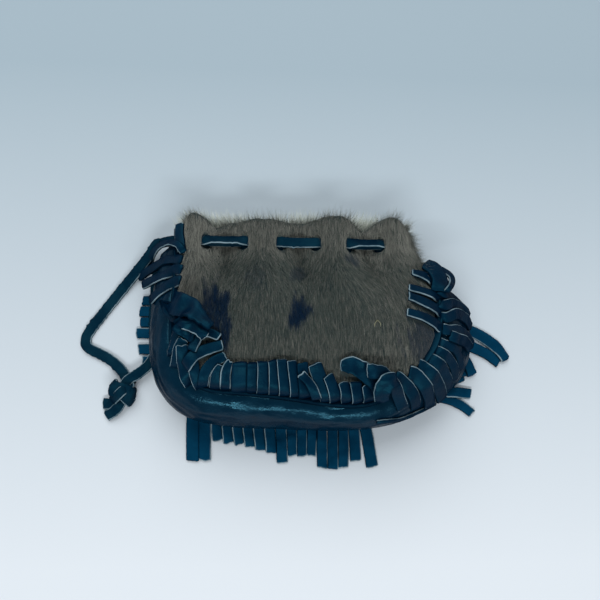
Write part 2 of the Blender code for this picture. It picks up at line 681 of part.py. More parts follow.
BACK_STRIPS = {
    5: (-73.7, 21.1, 1.0, 4, 1, 0), 6: (-74.8, 16.9, 1.0, 4, 1, 0), 7: (-77.1, 11.8, 1.0, 4, 1, 0),
    8: (-77.5, 7.5, 1.0, 4, 1, 0), 9: (-79.3, 2.7, 1.0, 4, 1, 0), 10: (-77.9, -4.1, 1.0, 4, 1, 0),
    11: (-76.0, -9.1, 1.0, 4, 1, 0), 17: (-53.7, -49.5, 1.0, 5, 1.5, 0),
    18: (-48.6, -49.5, 1.0, 5, 1.5, 0), 19: (-44.0, -41.1, 1.0, 4, 1, 0),
    20: (-39.8, -42.3, 1.0, 4, 1, 0), 21: (-35.3, -43.5, 1.0, 4, 1, 0),
    22: (-30.8, -44.3, 1.0, 4, 1, 0), 23: (-26.2, -45.5, 1.0, 4, 1, 0),
    24: (-21.7, -46.5, 1.0, 4, 1, 0), 25: (-16.9, -50.7, 1.0, 5, 1.5, 0),
    26: (-12.2, -47.5, 1.0, 4, 1, 0), 27: (-6.8, -47.9, 1.0, 4, 1, 0),
    28: (-1.4, -53.0, 1.0, 5, 1.5, 0), 29: (4.6, -53.0, 1.0, 5, 1.5, 0),
    30: (10.4, -52.6, 1.0, 5, 1.5, 0), 31: (16.0, -49.7, 1.0, 5, 1.5, 0),
    32: (21.8, -52.4, 1.0, 5, 1.5, 0),
    40: (62.7, -30.0, 1.0, 5, 1, 0), 41: (64.1, -21.9, 1.0, 5, 1, 0),
    42: (60.4, -16.7, 1.0, 4, 1, 0), 44: (66.3, -13.7, 1.0, 5, 1, 0),
    45: (76.8, -9.6, 1.0, 6, 1.5, 0), 46: (80.1, -6.1, 1.0, 6, 1.5, 0),
    47: (48.5, 3.6, 20.0, 9, 4, 0), 48: (48.6, 8.8, 19.0, 9, 4, 0), 49: (47.8, 14.1, 18.0, 9, 4, 0),
}

ground = Ground()
for sheet in (front_sheet, back_sheet, gusset_sheet, lace_sheet, upper_sheet, lower_sheet):
    ground.put(*sheet.solid())

back_welt = welt(back_seam, back_out, [BACK_STRIPS.get(k) for k in range(BACK_COUNT)],
                 BACK_STEPS, ground, 10.0)
front_welt = welt(front_seam, front_out, [FRONT_STRIPS.get(k) for k in range(FRONT_COUNT)],
                  FRONT_STEPS, ground, 0.0)

# Every piece as a closed solid, with 0, 0, 0 under the middle of the bag without its free loop
FREE_LOOP = ('drawstring_upper_run', 'drawstring_lower_run', 'drawstring_knot')
solids = {
    'front_panel': front_sheet.solid(),
    'back_panel': back_sheet.solid(),
    'gusset': gusset_sheet.solid(),
    'front_fringe': front_welt.solid(),
    'back_fringe': back_welt.solid(),
    'drawstring': lace_sheet.solid(),
    'drawstring_upper_run': upper_sheet.solid(),
    'drawstring_lower_run': lower_sheet.solid(),
    'drawstring_knot': wrap_solid(),
}
materials = {
    'front_panel': make_material('front_hide', (0.06, 0.07, 0.06), 0.9),
    'back_panel': make_material('back_hide', (0.5, 0.55, 0.5), 0.9),
    'gusset': make_material('gusset_leather', (0.004, 0.03, 0.06), 0.4),
    'front_fringe': make_material('front_fringe_leather', (0.003, 0.02, 0.045), 0.5),
    'back_fringe': make_material('back_fringe_leather', (0.003, 0.025, 0.055), 0.5),
    'drawstring': make_material('drawstring_leather', (0.006, 0.03, 0.05), 0.6),
    'drawstring_upper_run': make_material('upper_run_leather', (0.006, 0.03, 0.05), 0.6),
    'drawstring_lower_run': make_material('lower_run_leather', (0.006, 0.03, 0.05), 0.6),
    'drawstring_knot': make_material('knot_leather', (0.006, 0.03, 0.05), 0.6),
}
bag = [verts for name, (verts, _) in solids.items() if name not in FREE_LOOP]
corners = np.array([tuple(v) for verts in bag for v in verts])
low, high = corners.min(axis=0), corners.max(axis=0)
origin = np.array([(low[0] + high[0]) / 2, (low[1] + high[1]) / 2, low[2]])
print('origin', np.round(origin, 3), 'size', np.round(high - low, 1))
total = 0
for name, (verts, faces) in solids.items():
    obj = finish(name, [np.array(tuple(v)) - origin for v in verts], faces, materials[name])
    obj.data.calc_loop_triangles()
    total += len(obj.data.loop_triangles)
    print(name, len(obj.data.loop_triangles))
print('triangles', total)
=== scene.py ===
"""Looks of the drawstring pouch: hair-on hide, smooth leather gusset, fringed welts and a flat lace."""
import math

import bmesh
import bpy
import numpy as np
from mathutils import Matrix, Vector, noise
from mathutils.bvhtree import BVHTree


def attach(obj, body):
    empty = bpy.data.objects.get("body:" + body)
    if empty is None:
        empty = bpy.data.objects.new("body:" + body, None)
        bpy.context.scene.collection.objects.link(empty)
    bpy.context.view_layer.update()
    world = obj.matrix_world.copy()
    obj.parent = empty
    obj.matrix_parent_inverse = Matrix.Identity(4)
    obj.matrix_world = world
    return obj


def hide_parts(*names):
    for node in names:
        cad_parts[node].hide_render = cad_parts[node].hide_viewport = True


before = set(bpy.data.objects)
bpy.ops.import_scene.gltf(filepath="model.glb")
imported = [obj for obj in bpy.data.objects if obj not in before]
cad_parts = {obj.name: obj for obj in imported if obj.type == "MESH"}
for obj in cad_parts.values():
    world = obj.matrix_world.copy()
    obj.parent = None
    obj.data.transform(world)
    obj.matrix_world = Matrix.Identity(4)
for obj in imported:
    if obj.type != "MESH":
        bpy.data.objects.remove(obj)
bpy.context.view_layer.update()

# Camera: it looks steeply down on the pouch from just below its bottom edge, a little to the left
# of the middle, so that the front panel faces it.
MM = 0.001
CAMERA_DISTANCE = 0.3053
CAMERA_TURN = math.radians(-4.5)
CAMERA_TILT = math.radians(13.0)
aim = Vector((-10.155, 19.556, 0.0)) * MM
back_way = Vector((math.tan(CAMERA_TURN), -math.tan(CAMERA_TILT), 1.0)).normalized()
right_way = Vector((0, 1, 0)).cross(back_way).normalized()
up_way = back_way.cross(right_way)
camera = bpy.data.objects.new("camera", bpy.data.cameras.new("camera"))
camera.data.lens = 42.0
camera.data.sensor_width = 36.0
camera.data.clip_start = 0.01
camera.matrix_world = Matrix.Translation(aim + back_way * CAMERA_DISTANCE) @ Matrix(
    (right_way, up_way, back_way)).transposed().to_4x4()
scene = bpy.context.scene
scene.collection.objects.link(camera)
scene.camera = camera
scene.view_settings.view_transform = "Standard"

# Floor and light: a pale cloth-like floor, painted darker far off and lighter near the camera as
# painted falloff of the light, one big soft light overhead and a lower one in front, which gives the
# long highlight on the gusset.
# painted falloff of the light: the floor's colour far off and near the camera
FLOOR_PAINTED_SHADE_FAR = (0.355, 0.445, 0.505)
FLOOR_PAINTED_LIGHT_NEAR = (0.665, 0.715, 0.76)
FLOOR_HALF_SIZE = 2.0
FLOOR_DROP = 0.0001        # keeps the floor just clear of what lies on it


def new_material(name):
    """A material with its Principled shader and its node tree."""
    material = bpy.data.materials.new(name)
    material.use_nodes = True
    tree = material.node_tree
    shader = next(n for n in tree.nodes if n.type == "BSDF_PRINCIPLED")
    return material, tree, shader


def add_node(tree, kind, **values):
    """A node with its properties and its inputs set by name."""
    node = tree.nodes.new(kind)
    for key, value in values.items():
        if key in node.inputs:
            node.inputs[key].default_value = value
        else:
            setattr(node, key, value)
    return node


def colour_ramp(tree, fac, stops):
    """A colour ramp on a value, from (position, colour) stops."""
    ramp = tree.nodes.new("ShaderNodeValToRGB")
    while len(ramp.color_ramp.elements) < len(stops):
        ramp.color_ramp.elements.new(0.5)
    for element, (place, colour) in zip(ramp.color_ramp.elements, stops):
        element.position = place
        element.color = (*colour, 1.0)
    tree.links.new(fac, ramp.inputs["Fac"])
    return ramp.outputs["Color"]


def mask_along_y(tree, start, end):
    """A mask from 0 to 1 between two places in metres along Y."""
    coords = add_node(tree, "ShaderNodeTexCoord")
    axes = add_node(tree, "ShaderNodeSeparateXYZ")
    tree.links.new(coords.outputs["Object"], axes.inputs[0])
    mask = add_node(tree, "ShaderNodeMapRange", **{"From Min": start, "From Max": end})
    tree.links.new(axes.outputs["Y"], mask.inputs["Value"])
    return mask.outputs[0]


floor_mesh = bpy.data.meshes.new("floor")
floor_bm = bmesh.new()
bmesh.ops.create_grid(floor_bm, x_segments=1, y_segments=1, size=FLOOR_HALF_SIZE)
bmesh.ops.translate(floor_bm, vec=(0, 0, -FLOOR_DROP), verts=floor_bm.verts[:])
floor_bm.to_mesh(floor_mesh)
floor_bm.free()
floor = bpy.data.objects.new("floor", floor_mesh)
scene.collection.objects.link(floor)
floor_material, tree, shader = new_material("floor_painted_falloff")
# painted falloff: the floor is painted darker far off and lighter near the camera
painted_falloff = mask_along_y(tree, 0.13, -0.09)
tree.links.new(colour_ramp(tree, painted_falloff, [(0.0, FLOOR_PAINTED_SHADE_FAR), (1.0, FLOOR_PAINTED_LIGHT_NEAR)]),
               shader.inputs["Base Color"])
shader.inputs["Roughness"].default_value = 0.95
shader.inputs["Specular IOR Level"].default_value = 0.1
floor_mesh.materials.append(floor_material)

world = bpy.data.worlds.new("studio")
scene.world = world
world.use_nodes = True
sky = world.node_tree.nodes["Background"]
sky.inputs["Color"].default_value = (0.90, 0.95, 1.0, 1.0)
sky.inputs["Strength"].default_value = 0.32


def soft_light(name, place, target, size_x, size_y, watts):
    """A rectangular area light turned toward a target."""
    lamp = bpy.data.lights.new(name, "AREA")
    lamp.shape = "RECTANGLE"
    lamp.size = size_x
    lamp.size_y = size_y
    lamp.energy = watts
    holder = bpy.data.objects.new(name, lamp)
    holder.location = place
    way = Vector(place) - Vector(target)
    holder.rotation_euler = way.to_track_quat("Z", "Y").to_euler()
    scene.collection.objects.link(holder)


soft_light("overhead", (-0.35, 1.10, 1.40), (0, 0, 0), 1.9, 1.7, 28.0)
soft_light("front_strip", (0.03, -0.76, 0.70), (-0.01, -0.03, 0.02), 0.9, 0.06, 6.0)

# Lace leather: one flat strip cut by hand from black leather, its cut edges lighter and ragged,
# and one arris painted light as a painted highlight where it catches the light. The free loop leaves
# the mouth at the left, lies on the table and comes back through a knot.
LACE_WIDTH = 4.2
LACE_THICK = 1.2
ARRIS_WORN_AND_LIT = 0.34          # broken edge that is painted light, as wear and as a painted highlight
ARRIS = 0.14
LACE_STEP = 0.7
FOLD_TURN = 40             # degrees that the woven lace is turned where it passes a slit
CUT_SIDE = 0.45            # beyond this share of the width from the middle lies the cut side
STRIP_ROWS = 6


def smooth_line(points, count):
    """Points spaced evenly by length along a smooth curve through the given points."""
    p = np.array(points, float)
    padded = np.vstack([2 * p[0] - p[1], p, 2 * p[-1] - p[-2]])
    dense = []
    for k in range(len(p) - 1):
        a, b, c, d = padded[k:k + 4]
        for t in np.arange(0.0, 1.0, 0.05):
            dense.append(0.5 * (2 * b + (c - a) * t + (2 * a - 5 * b + 4 * c - d) * t ** 2
                                + (3 * b - a - 3 * c + d) * t ** 3))
    dense.append(p[-1])
    dense = np.array(dense)
    walked = np.concatenate([[0.0], np.cumsum(np.linalg.norm(np.diff(dense, axis=0), axis=1))])
    wanted = np.linspace(0.0, walked[-1], count)
    return np.column_stack([np.interp(wanted, walked, dense[:, k]) for k in range(p.shape[1])])


def line_length(points):
    """Length of a line through points."""
    return float(np.linalg.norm(np.diff(np.array(points), axis=0), axis=1).sum())


def scattered(place, scale, seed=0.0):
    """Smooth noise from -1 to 1 at a place in millimetres."""
    return noise.noise(Vector(place) * scale + Vector((seed, seed * 0.7, 3.1)))


def place_piece(name, mesh, finishes, slot, *nodes):
    """An object of the mesh, in its materials, that rides on the pouch and stands for CAD nodes."""
    for finish in finishes:
        mesh.materials.append(finish)
    obj = bpy.data.objects.new(name, mesh)
    scene.collection.objects.link(obj)
    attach(obj, "root")
    if nodes:
        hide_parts(*nodes)
    return obj


def shade_smooth(mesh):
    """Smooth shading on every face."""
    mesh.polygons.foreach_set("use_smooth", [True] * len(mesh.polygons))


def unit_rows(v):
    """Rows scaled to length one."""
    return v / np.maximum(np.linalg.norm(v, axis=-1, keepdims=True), 1e-9)


def ways_along(path):
    """Running direction of a path at each of its points."""
    return unit_rows(np.vstack([path[1:], path[-1:]]) - np.vstack([path[:1], path[:-1]]))


def strip_sides(path, turns, start):
    """Width directions along a strip: level where it runs level, then turned by given degrees."""
    sides = []
    side = np.array(start, float)
    places, angles = zip(*turns)
    for k, t in enumerate(ways_along(path)):
        side = unit_rows(side - t * (side @ t))
        level = np.array([-t[1], t[0], 0.0])
        if np.linalg.norm(level) > 0.45:
            level = unit_rows(level)
            side = unit_rows(side + level * (1 if level @ side > 0 else -1))
        turn = math.radians(np.interp(k / (len(path) - 1), places, angles))
        sides.append(side * math.cos(turn) + np.cross(t, side) * math.sin(turn))
    return np.array(sides)


def strip_solid(path, sides, widths, lit, seed, ragged=0.10, cup=0.22, thick=LACE_THICK,
                wave=0.0):
    """A cut leather strip as a closed bmesh in millimetres.

    Its broad faces are slot 0, its light-painted arrises slot 1 and its cut sides slot 2. The upper
    arris is painted light, partly as wear and partly as a painted highlight where it catches the
    light: on the left of its run (lit above 0), on the right (below 0) or on both sides (2), the
    less the nearer lit is to 0; at -3 both arrises of the right side are painted light. A crumpled
    strip has a wave in its edges and its height.
    """
    count = len(path)
    thick = np.broadcast_to(thick, count)
    ways = ways_along(path)
    lifts = np.cross(ways, sides)
    bm = bmesh.new()
    bmesh.ops.create_grid(bm, x_segments=count - 1, y_segments=STRIP_ROWS, size=0.5)
    grown = bmesh.ops.extrude_face_region(bm, geom=bm.faces[:])
    above = {v for v in grown["geom"] if isinstance(v, bmesh.types.BMVert)}
    spots = {v: (min(count - 1, int(round((v.co.x + 0.5) * (count - 1)))), v.co.y) for v in bm.verts}
    for vert, (k, across) in spots.items():
        rough = 0.0
        if abs(across) > CUT_SIDE:
            rough = scattered(path[k], 0.9, seed + across) * ragged
            rough += max(0.0, scattered(path[k], 2.1, seed + 20 + across) - 0.3) * ragged * 4.0
            rough += scattered(path[k], 0.55, seed + 40 + across) * wave
        along = 0.0
        if k in (0, count - 1):
            along = scattered((across * 5, k, seed), 0.7, seed) * 0.4
            along += across * math.sin(seed * 5) * 0.6
            along -= max(0.0, abs(across) - 0.4) * 3.0 * (1 if k else -1)
            room = 0.5 * np.linalg.norm(path[k] - path[k - 1 if k else 1])
            along = max(along, -room) if k else min(along, room)
        height = thick[k] * (0.5 if vert in above else -0.5) - across * across * 4 * cup
        height += scattered(path[k] + sides[k] * across * 6, 0.28, seed) * (0.12 + wave)
        vert.co = path[k] + sides[k] * (across * widths[k] + math.copysign(rough, across)) \
            + lifts[k] * height + ways[k] * along
        vert.co.z = max(vert.co.z, 0.02)
    bmesh.ops.recalc_face_normals(bm, faces=bm.faces[:])
    for face in bm.faces:
        tops = sum(v in above for v in face.verts)
        face.material_index = 0 if tops in (0, len(face.verts)) else 2
    # arrises on the lit side are painted light, as wear and as a painted highlight
    worn_and_lit_arrises, plain = [], []
    for edge in bm.edges:
        if len({f.material_index for f in edge.link_faces}) < 2:
            continue
        (ka, ya), (kb, yb) = (spots[v] for v in edge.verts)
        left, right = min(ya, yb) > CUT_SIDE, max(ya, yb) < -CUT_SIDE
        shows = (left and lit > 0) or (right and (lit < 0 or lit == 2))
        shows = shows or (lit and ka == kb == count - 1)
        upper = all(v in above for v in edge.verts)
        (worn_and_lit_arrises if shows and (upper or lit == -3) else plain).append(edge)
    for edges, offset, slot in ((worn_and_lit_arrises, ARRIS_WORN_AND_LIT * min(1.0, abs(lit)), 1), (plain, ARRIS, 2)):
        made = bmesh.ops.bevel(bm, geom=[e for e in edges if e.is_valid], offset=offset, segments=1,
                               profile=0.5, affect="EDGES", material=-1, clamp_overlap=True)
        for face in made["faces"]:
            face.material_index = slot
    return bm


def mesh_of(name, parts):
    """One mesh in metres from bmeshes in millimetres, which are used up."""
    whole = bmesh.new()
    for part in parts:
        loose = bpy.data.meshes.new("loose")
        part.to_mesh(loose)
        part.free()
        whole.from_mesh(loose)
        bpy.data.meshes.remove(loose)
    bmesh.ops.scale(whole, vec=(MM, MM, MM), verts=whole.verts[:])
    mesh = bpy.data.meshes.new(name)
    whole.to_mesh(mesh)
    whole.free()
    shade_smooth(mesh)
    return mesh


def lace_strip(name, points, turns, start, seed, lit, build=0.0):
    """A flat lace along points in millimetres, and the path it follows in metres.

    Where it is turned it is also thicker, by build at FOLD_TURN, since there it lies double.
    """
    path = smooth_line(points, max(8, int(line_length(points) / LACE_STEP)))
    sides = strip_sides(path, turns, start)
    places, angles = zip(*turns)
    share = np.interp(np.linspace(0, 1, len(path)), places, [abs(b) / FOLD_TURN for b in angles])
    solid = strip_solid(path, sides, LACE_WIDTH + build * 0.7 * share, lit, seed, ragged=0.40,
                        thick=LACE_THICK + build * share)
    return mesh_of(name, [solid]), [tuple(p * MM) for p in path]


def grain_group():
    """Leather grain: fine cells and long creases as a height, and slow mottling as a mask."""
    group = bpy.data.node_groups.new("leather_grain", "ShaderNodeTree")
    group.interface.new_socket("Cells", in_out="INPUT", socket_type="NodeSocketFloat")
    group.interface.new_socket("Creases", in_out="INPUT", socket_type="NodeSocketFloat")
    group.interface.new_socket("Height", in_out="OUTPUT", socket_type="NodeSocketFloat")
    group.interface.new_socket("Mottle", in_out="OUTPUT", socket_type="NodeSocketFloat")
    link = group.links.new
    given = group.nodes.new("NodeGroupInput")
    result = group.nodes.new("NodeGroupOutput")
    coords = add_node(group, "ShaderNodeTexCoord")
    cells = add_node(group, "ShaderNodeTexVoronoi", Randomness=1.0)
    creases = add_node(group, "ShaderNodeTexNoise", Detail=5.0, Roughness=0.65, Distortion=0.8)
    mottle = add_node(group, "ShaderNodeTexNoise", Scale=140.0, Detail=3.0, Roughness=0.6)
    for node in (cells, creases, mottle):
        link(coords.outputs["Object"], node.inputs["Vector"])
    link(given.outputs["Cells"], cells.inputs["Scale"])
    link(given.outputs["Creases"], creases.inputs["Scale"])
    mixed = add_node(group, "ShaderNodeMath", operation="MULTIPLY_ADD")
    link(cells.outputs["Distance"], mixed.inputs[0])
    mixed.inputs[1].default_value = 0.5
    link(creases.outputs["Fac"], mixed.inputs[2])
    link(mixed.outputs[0], result.inputs["Height"])
    link(mottle.outputs["Fac"], result.inputs["Mottle"])
    return group


leather_grain = grain_group()


def leather(name, dark, light, roughness, bump, cells=1500.0, creases=500.0, spread=(0.35, 0.7),
            shine=1.2, tint=(0.10, 0.74, 1.0)):
    """Dyed leather with grain; its colour drifts between dark and light."""
    material, tree, shader = new_material(name)
    link = tree.links.new
    grain = tree.nodes.new("ShaderNodeGroup")
    grain.node_tree = leather_grain
    grain.inputs["Cells"].default_value = cells
    grain.inputs["Creases"].default_value = creases
    link(colour_ramp(tree, grain.outputs["Mottle"], [(spread[0], dark), (spread[1], light)]),
         shader.inputs["Base Color"])
    rough = add_node(tree, "ShaderNodeMapRange", **{
        "From Min": 0.3, "From Max": 0.75, "To Min": roughness - 0.06, "To Max": roughness + 0.08})
    link(grain.outputs["Mottle"], rough.inputs["Value"])
    link(rough.outputs[0], shader.inputs["Roughness"])
    bumps = add_node(tree, "ShaderNodeBump", Strength=bump, Distance=0.0003)
    link(grain.outputs["Height"], bumps.inputs["Height"])
    link(bumps.outputs["Normal"], shader.inputs["Normal"])
    shader.inputs["IOR"].default_value = shine
    facing = add_node(tree, "ShaderNodeLayerWeight", Blend=0.5)
    gloss = add_node(tree, "ShaderNodeMapRange", **{
        "From Min": 0.20, "From Max": 0.58, "To Min": 0.5, "To Max": 0.02})
    link(facing.outputs["Facing"], gloss.inputs["Value"])
    link(gloss.outputs[0], shader.inputs["Specular IOR Level"])
    shader.inputs["Specular Tint"].default_value = (*tint, 1.0)
    return material


DYE = (0.0003, 0.0070, 0.0205)
DYE_LIGHT = (0.0010, 0.0130, 0.0320)
lace_face = leather("lace_face", (0.0006, 0.0095, 0.0230), (0.0028, 0.0210, 0.0380), 0.62, 0.6)
lace_side = leather("lace_side", (0.0006, 0.0070, 0.0170), (0.004, 0.018, 0.030), 0.8, 0.8)
# edge colour: the cut edges' own lighter colour, and a painted highlight where an arris catches the
# light
edge_wear_and_highlight = leather("cut_edge_wear_and_highlight", (0.040, 0.085, 0.112), (0.20, 0.28, 0.32), 0.8, 0.5,
                    spread=(0.30, 0.58))
LACE_FINISH = (lace_face, edge_wear_and_highlight, lace_side)

UPPER_RUN = [
    (-70.5, 41.0, 8.81), (-71.9, 40.9, 8.25), (-75.2, 36.3, 5.60), (-81.2, 29.3, 2.20),
    (-88.0, 20.3, 0.90), (-94.6, 10.9, 0.65), (-98.8, 4.5, 0.65), (-100.2, 0.7, 0.70),
    (-99.2, -2.5, 0.80), (-95.2, -4.7, 0.80), (-90.2, -7.3, 1.00), (-85.6, -11.1, 1.50),
    (-81.7, -16.6, 2.10), (-82.8, -19.4, 2.10), (-84.2, -23.1, 2.10), (-85.4, -25.0, 2.10),
    (-88.4, -26.0, 1.60), (-91.6, -25.8, 0.80)]
LOWER_RUN = [
    (-71.9, 1.4, 0.65), (-71.7, -2.9, 0.65), (-72.4, -7.3, 1.00), (-75.6, -12.1, 3.20),
    (-81.7, -16.6, 3.60), (-82.8, -19.4, 3.60), (-84.2, -23.1, 3.60), (-84.4, -26.4, 3.20),
    (-87.0, -29.2, 2.10), (-90.0, -30.9, 0.90)]


upper_mesh, upper_path = lace_strip("lace_upper_run", UPPER_RUN, [(0, 0), (1, 0)], (0, -1, 0),
                                    seed=1.0, lit=1)
lower_mesh, lower_path = lace_strip("lace_lower_run", LOWER_RUN, [(0, 0), (1, 0)], (1, 0, 0),
                                    seed=2.0, lit=2)
upper_run = place_piece("lace_upper_run", upper_mesh, LACE_FINISH, "upper_run_leather",
                        "drawstring_upper_run")
lower_run = place_piece("lace_lower_run", lower_mesh, LACE_FINISH, "lower_run_leather",
                        "drawstring_lower_run")

# Knot: both ends of the lace pulled through one flat turn of itself, so it shows as a rounded
# lump with a crossing fold, and the two ends stick out past it.


def cad_copy(name):
    """A CAD node's mesh with its corners merged and its triangles paired."""
    bm = bmesh.new()
    bm.from_mesh(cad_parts[name].data)
    bmesh.ops.remove_doubles(bm, verts=bm.verts[:], dist=1e-6)
    bmesh.ops.join_triangles(bm, faces=bm.faces[:], angle_face_threshold=math.radians(60),
                             angle_shape_threshold=math.radians(75))
    return bm


def subdivided(bm, name, levels):
    """A smoothed copy of a bmesh as a plain mesh."""
    rough = bpy.data.meshes.new(name)
    bm.to_mesh(rough)
    bm.free()
    holder = bpy.data.objects.new(name, rough)
    scene.collection.objects.link(holder)
    smoother = holder.modifiers.new("smooth", "SUBSURF")
    smoother.levels = levels
    smoother.render_levels = levels
    bpy.context.view_layer.update()
    fine = bpy.data.meshes.new_from_object(holder.evaluated_get(
        bpy.context.evaluated_depsgraph_get()))
    bpy.data.objects.remove(holder, do_unlink=True)
    bpy.data.meshes.remove(rough)
    fine.name = name
    shade_smooth(fine)
    return fine


def shift_points(mesh, move):
    """Moves every point of a mesh by a function of its place in millimetres and its normal, and
    keeps it on or above the floor."""
    moved = []
    for vert in mesh.vertices:
        place = vert.co / MM
        place = place + move(place, vert.normal)
        moved += [place.x * MM, place.y * MM, max(place.z, 0.0) * MM]
    mesh.vertices.foreach_set("co", moved)
    mesh.update()


def knot_lumps(p, n):
    """Lumps of the tightened lace."""
    return n * (scattered(p, 0.45, 5.0) * 0.5 + scattered(p, 1.4, 9.0) * 0.12)


knot_core = subdivided(cad_copy("drawstring_knot"), "knot_core", 3)
shift_points(knot_core, knot_lumps)
KNOT_TURNS = (
    ((-88.0, -17.2, 0.8), (-87.2, -18.4, 3.6), (-85.2, -20.6, 5.9), (-82.6, -23.2, 5.6),
     (-80.4, -25.2, 3.2), (-79.8, -25.8, 0.8)),
    ((-80.2, -18.2, 0.8), (-80.8, -18.9, 3.6), (-82.9, -21.0, 6.7), (-85.0, -23.0, 6.3),
     (-87.2, -24.6, 3.4), (-87.6, -25.2, 0.8)))
KNOT_STEPS = 26
knot_parts = [bmesh.new()]
knot_parts[0].from_mesh(knot_core)
bmesh.ops.scale(knot_parts[0], vec=(1 / MM, 1 / MM, 1 / MM), verts=knot_parts[0].verts[:])
for index, turn in enumerate(KNOT_TURNS):
    path = smooth_line(turn, KNOT_STEPS)
    sides = strip_sides(path, [(0, 0), (1, 0)], (0.6, 0.6, 0))
    knot_parts.append(strip_solid(path, sides, [4.0] * KNOT_STEPS, 2, 30.0 + index, ragged=0.2,
                                  wave=0.25))
knot = place_piece("lace_knot", mesh_of("lace_knot", knot_parts), LACE_FINISH, "knot_leather",
                   "drawstring_knot")

# Drawstring: the woven stretch of the same lace. It dips over each valley of the front panel and
# hides behind each crest, then comes back through the back panel and out under the left side.
EXIT = [(-70.1, 41.1, 8.99), (-67.9, 41.4, 9.88), (-65.7, 41.6, 10.76), (-61.55, 41.06, 12.0),
        (-58.15, 40.66, 14.6)]
# heights of the lace, one for each step along the mouth, out at the front and back behind
WEAVE_STEP = 3.6
FRONT_WEAVE = (17.05, 16.61, 16.12, 15.82, 15.87, 16.24, 16.74, 17.12, 17.18, 16.88, 16.38,
               15.94, 15.80, 16.05, 16.55, 17.02, 17.20, 16.94, 16.38, 15.90, 15.84, 16.26,
               16.87, 17.19)
BACK_WEAVE = (5.31, 5.63, 6.24, 6.66, 6.60, 6.12, 5.56, 5.30, 5.48, 5.95, 6.45, 6.70, 6.56, 6.12,
              5.62, 5.32, 5.38, 5.76, 6.26, 6.63)
TURN_BACK = [(31.845, 40.556, 15.2), (33.345, 40.556, 11.6), (31.645, 40.556, 7.2)]
UNDER = [(-45.555, 40.456, 5.4), (-52.555, 40.256, 3.4), (-59.055, 39.956, 2.0),
         (-65.055, 38.656, 1.2), (-69.755, 35.056, 0.75), (-71.955, 29.056, 0.65),
         (-72.355, 19.056, 0.65), (-72.355, 9.056, 0.65), (-71.955, 2.056, 0.65)]
WEAVE_Y = 40.56
woven_points = (EXIT + [(-54.9 + WEAVE_STEP * k, WEAVE_Y, z) for k, z in enumerate(FRONT_WEAVE)]
                + TURN_BACK + [(27.9 - WEAVE_STEP * k, WEAVE_Y, z) for k, z in enumerate(BACK_WEAVE)]
                + UNDER)
WOVEN_TURNS = [(0, 0), (0.08, 0), (0.095, -FOLD_TURN), (0.14, -FOLD_TURN), (0.16, 0), (0.325, 0),
               (0.34, -FOLD_TURN), (0.378, -FOLD_TURN), (0.40, 0), (1, 0)]
woven_mesh, _ = lace_strip("lace_woven", woven_points, WOVEN_TURNS, (0, 1, 0), seed=3.0,
                           lit=-3, build=1.1)
place_piece("lace_woven", woven_mesh, LACE_FINISH, "drawstring_leather", "drawstring")

# Gusset: one strip of smooth black leather, sewn to both panels with a welt in each seam. It is
# soft and bulges between the welts, with long creases at the corners and fine wrinkles on its crest.
gusset_mesh = subdivided(cad_copy("gusset"), "gusset_leather", 3)


def drawn_in(p, n):
    """The gathered mouth is narrower than the bag, so its sides stay behind the front panel."""
    right = np.interp(p.y, (12, 28.6, 37.6, 45.6), (45.0, 40.5, 36.8, 35.3))
    left = np.interp(p.y, (30, 45.6), (-62.5, -62.3))
    if p.x > right:
        return Vector(((right - p.x) * 0.80 * min(1.0, max(0.0, (p.y - 12.0) / 18.0)), 0, 0))
    if p.x < left:
        return Vector(((left - p.x) * 0.75 * min(1.0, max(0.0, (p.y - 36.0) / 6.0)), 0, 0))
    return Vector((0, 0, 0))


# the front seam line, which the front welt follows, and how far the roll stands out from it
FRONT_SEAM = (
    (-62.1, 45.6, 15.5), (-61.9, 37.1, 17.5), (-61.4, 27.1, 20.5), (-61.2, 16.1, 23.5),
    (-61.6, 5.1, 26.0), (-60.4, -6.9, 27.0), (-55.6, -16.4, 27.0), (-46.6, -21.5, 27.0),
    (-33.6, -22.7, 27.5), (-16.6, -24.5, 28.0), (2.4, -27.1, 28.0), (14.9, -26.3, 27.5),
    (24.4, -21.5, 27.0), (33.4, -13.5, 26.5), (40.9, -4.4, 25.5), (44.0, 6.1, 24.0),
    (43.8, 17.1, 22.0), (41.3, 27.6, 19.3), (39.8, 32.0, 17.5))
PUFF = 4.4
PUFF_START = 0.30          # share of the seam's height where the roll begins
seam_line = smooth_line(FRONT_SEAM, 240)
seam_out = unit_rows(ways_along(seam_line)[:, [1, 0]] * (1, -1))


def puffed(p, n):
    """The filling pushes the upper half of the gusset up and out into a soft roll."""
    near = int(np.argmin(((seam_line[:, :2] - (p.x, p.y)) ** 2).sum(axis=1)))
    share = min(1.0, max(0.0, (p.z / seam_line[near, 2] - PUFF_START) / (1 - PUFF_START)))
    ends = min(1.0, near / 85.0, (len(seam_line) - 1 - near) / 40.0)
    push = PUFF * math.sin(math.pi * share ** 1.5) * ends
    return Vector((seam_out[near, 0] * push * 0.6, seam_out[near, 1] * push * 0.6, push * 0.8))


shift_points(gusset_mesh, drawn_in)
shift_points(gusset_mesh, puffed)


def gusset_crease(p, n):
    """Long creases, short wrinkles and fine unevenness, but none where it rests on the table."""
    along = Vector((p.x * 0.35, p.y * 0.35, p.z * 1.1))
    wrinkle = scattered(along, 0.30, 2.0) * 0.42 + scattered(along, 0.85, 4.0) * 0.12
    fine = scattered(p, 1.1, 6.0) * 0.05
    free = 0.0 if n.z < -0.95 else 1.0
    return n * (wrinkle + fine) * free


shift_points(gusset_mesh, gusset_crease)
gusset_finish = leather("gusset_leather", (0.0003, 0.0095, 0.0230), (0.0008, 0.0140, 0.0310), 0.24,
                        0.24, cells=1300.0, creases=420.0, shine=1.34, tint=(0.20, 0.72, 1.0))
place_piece("gusset_leather", gusset_mesh, [gusset_finish], "gusset_leather", "gusset")

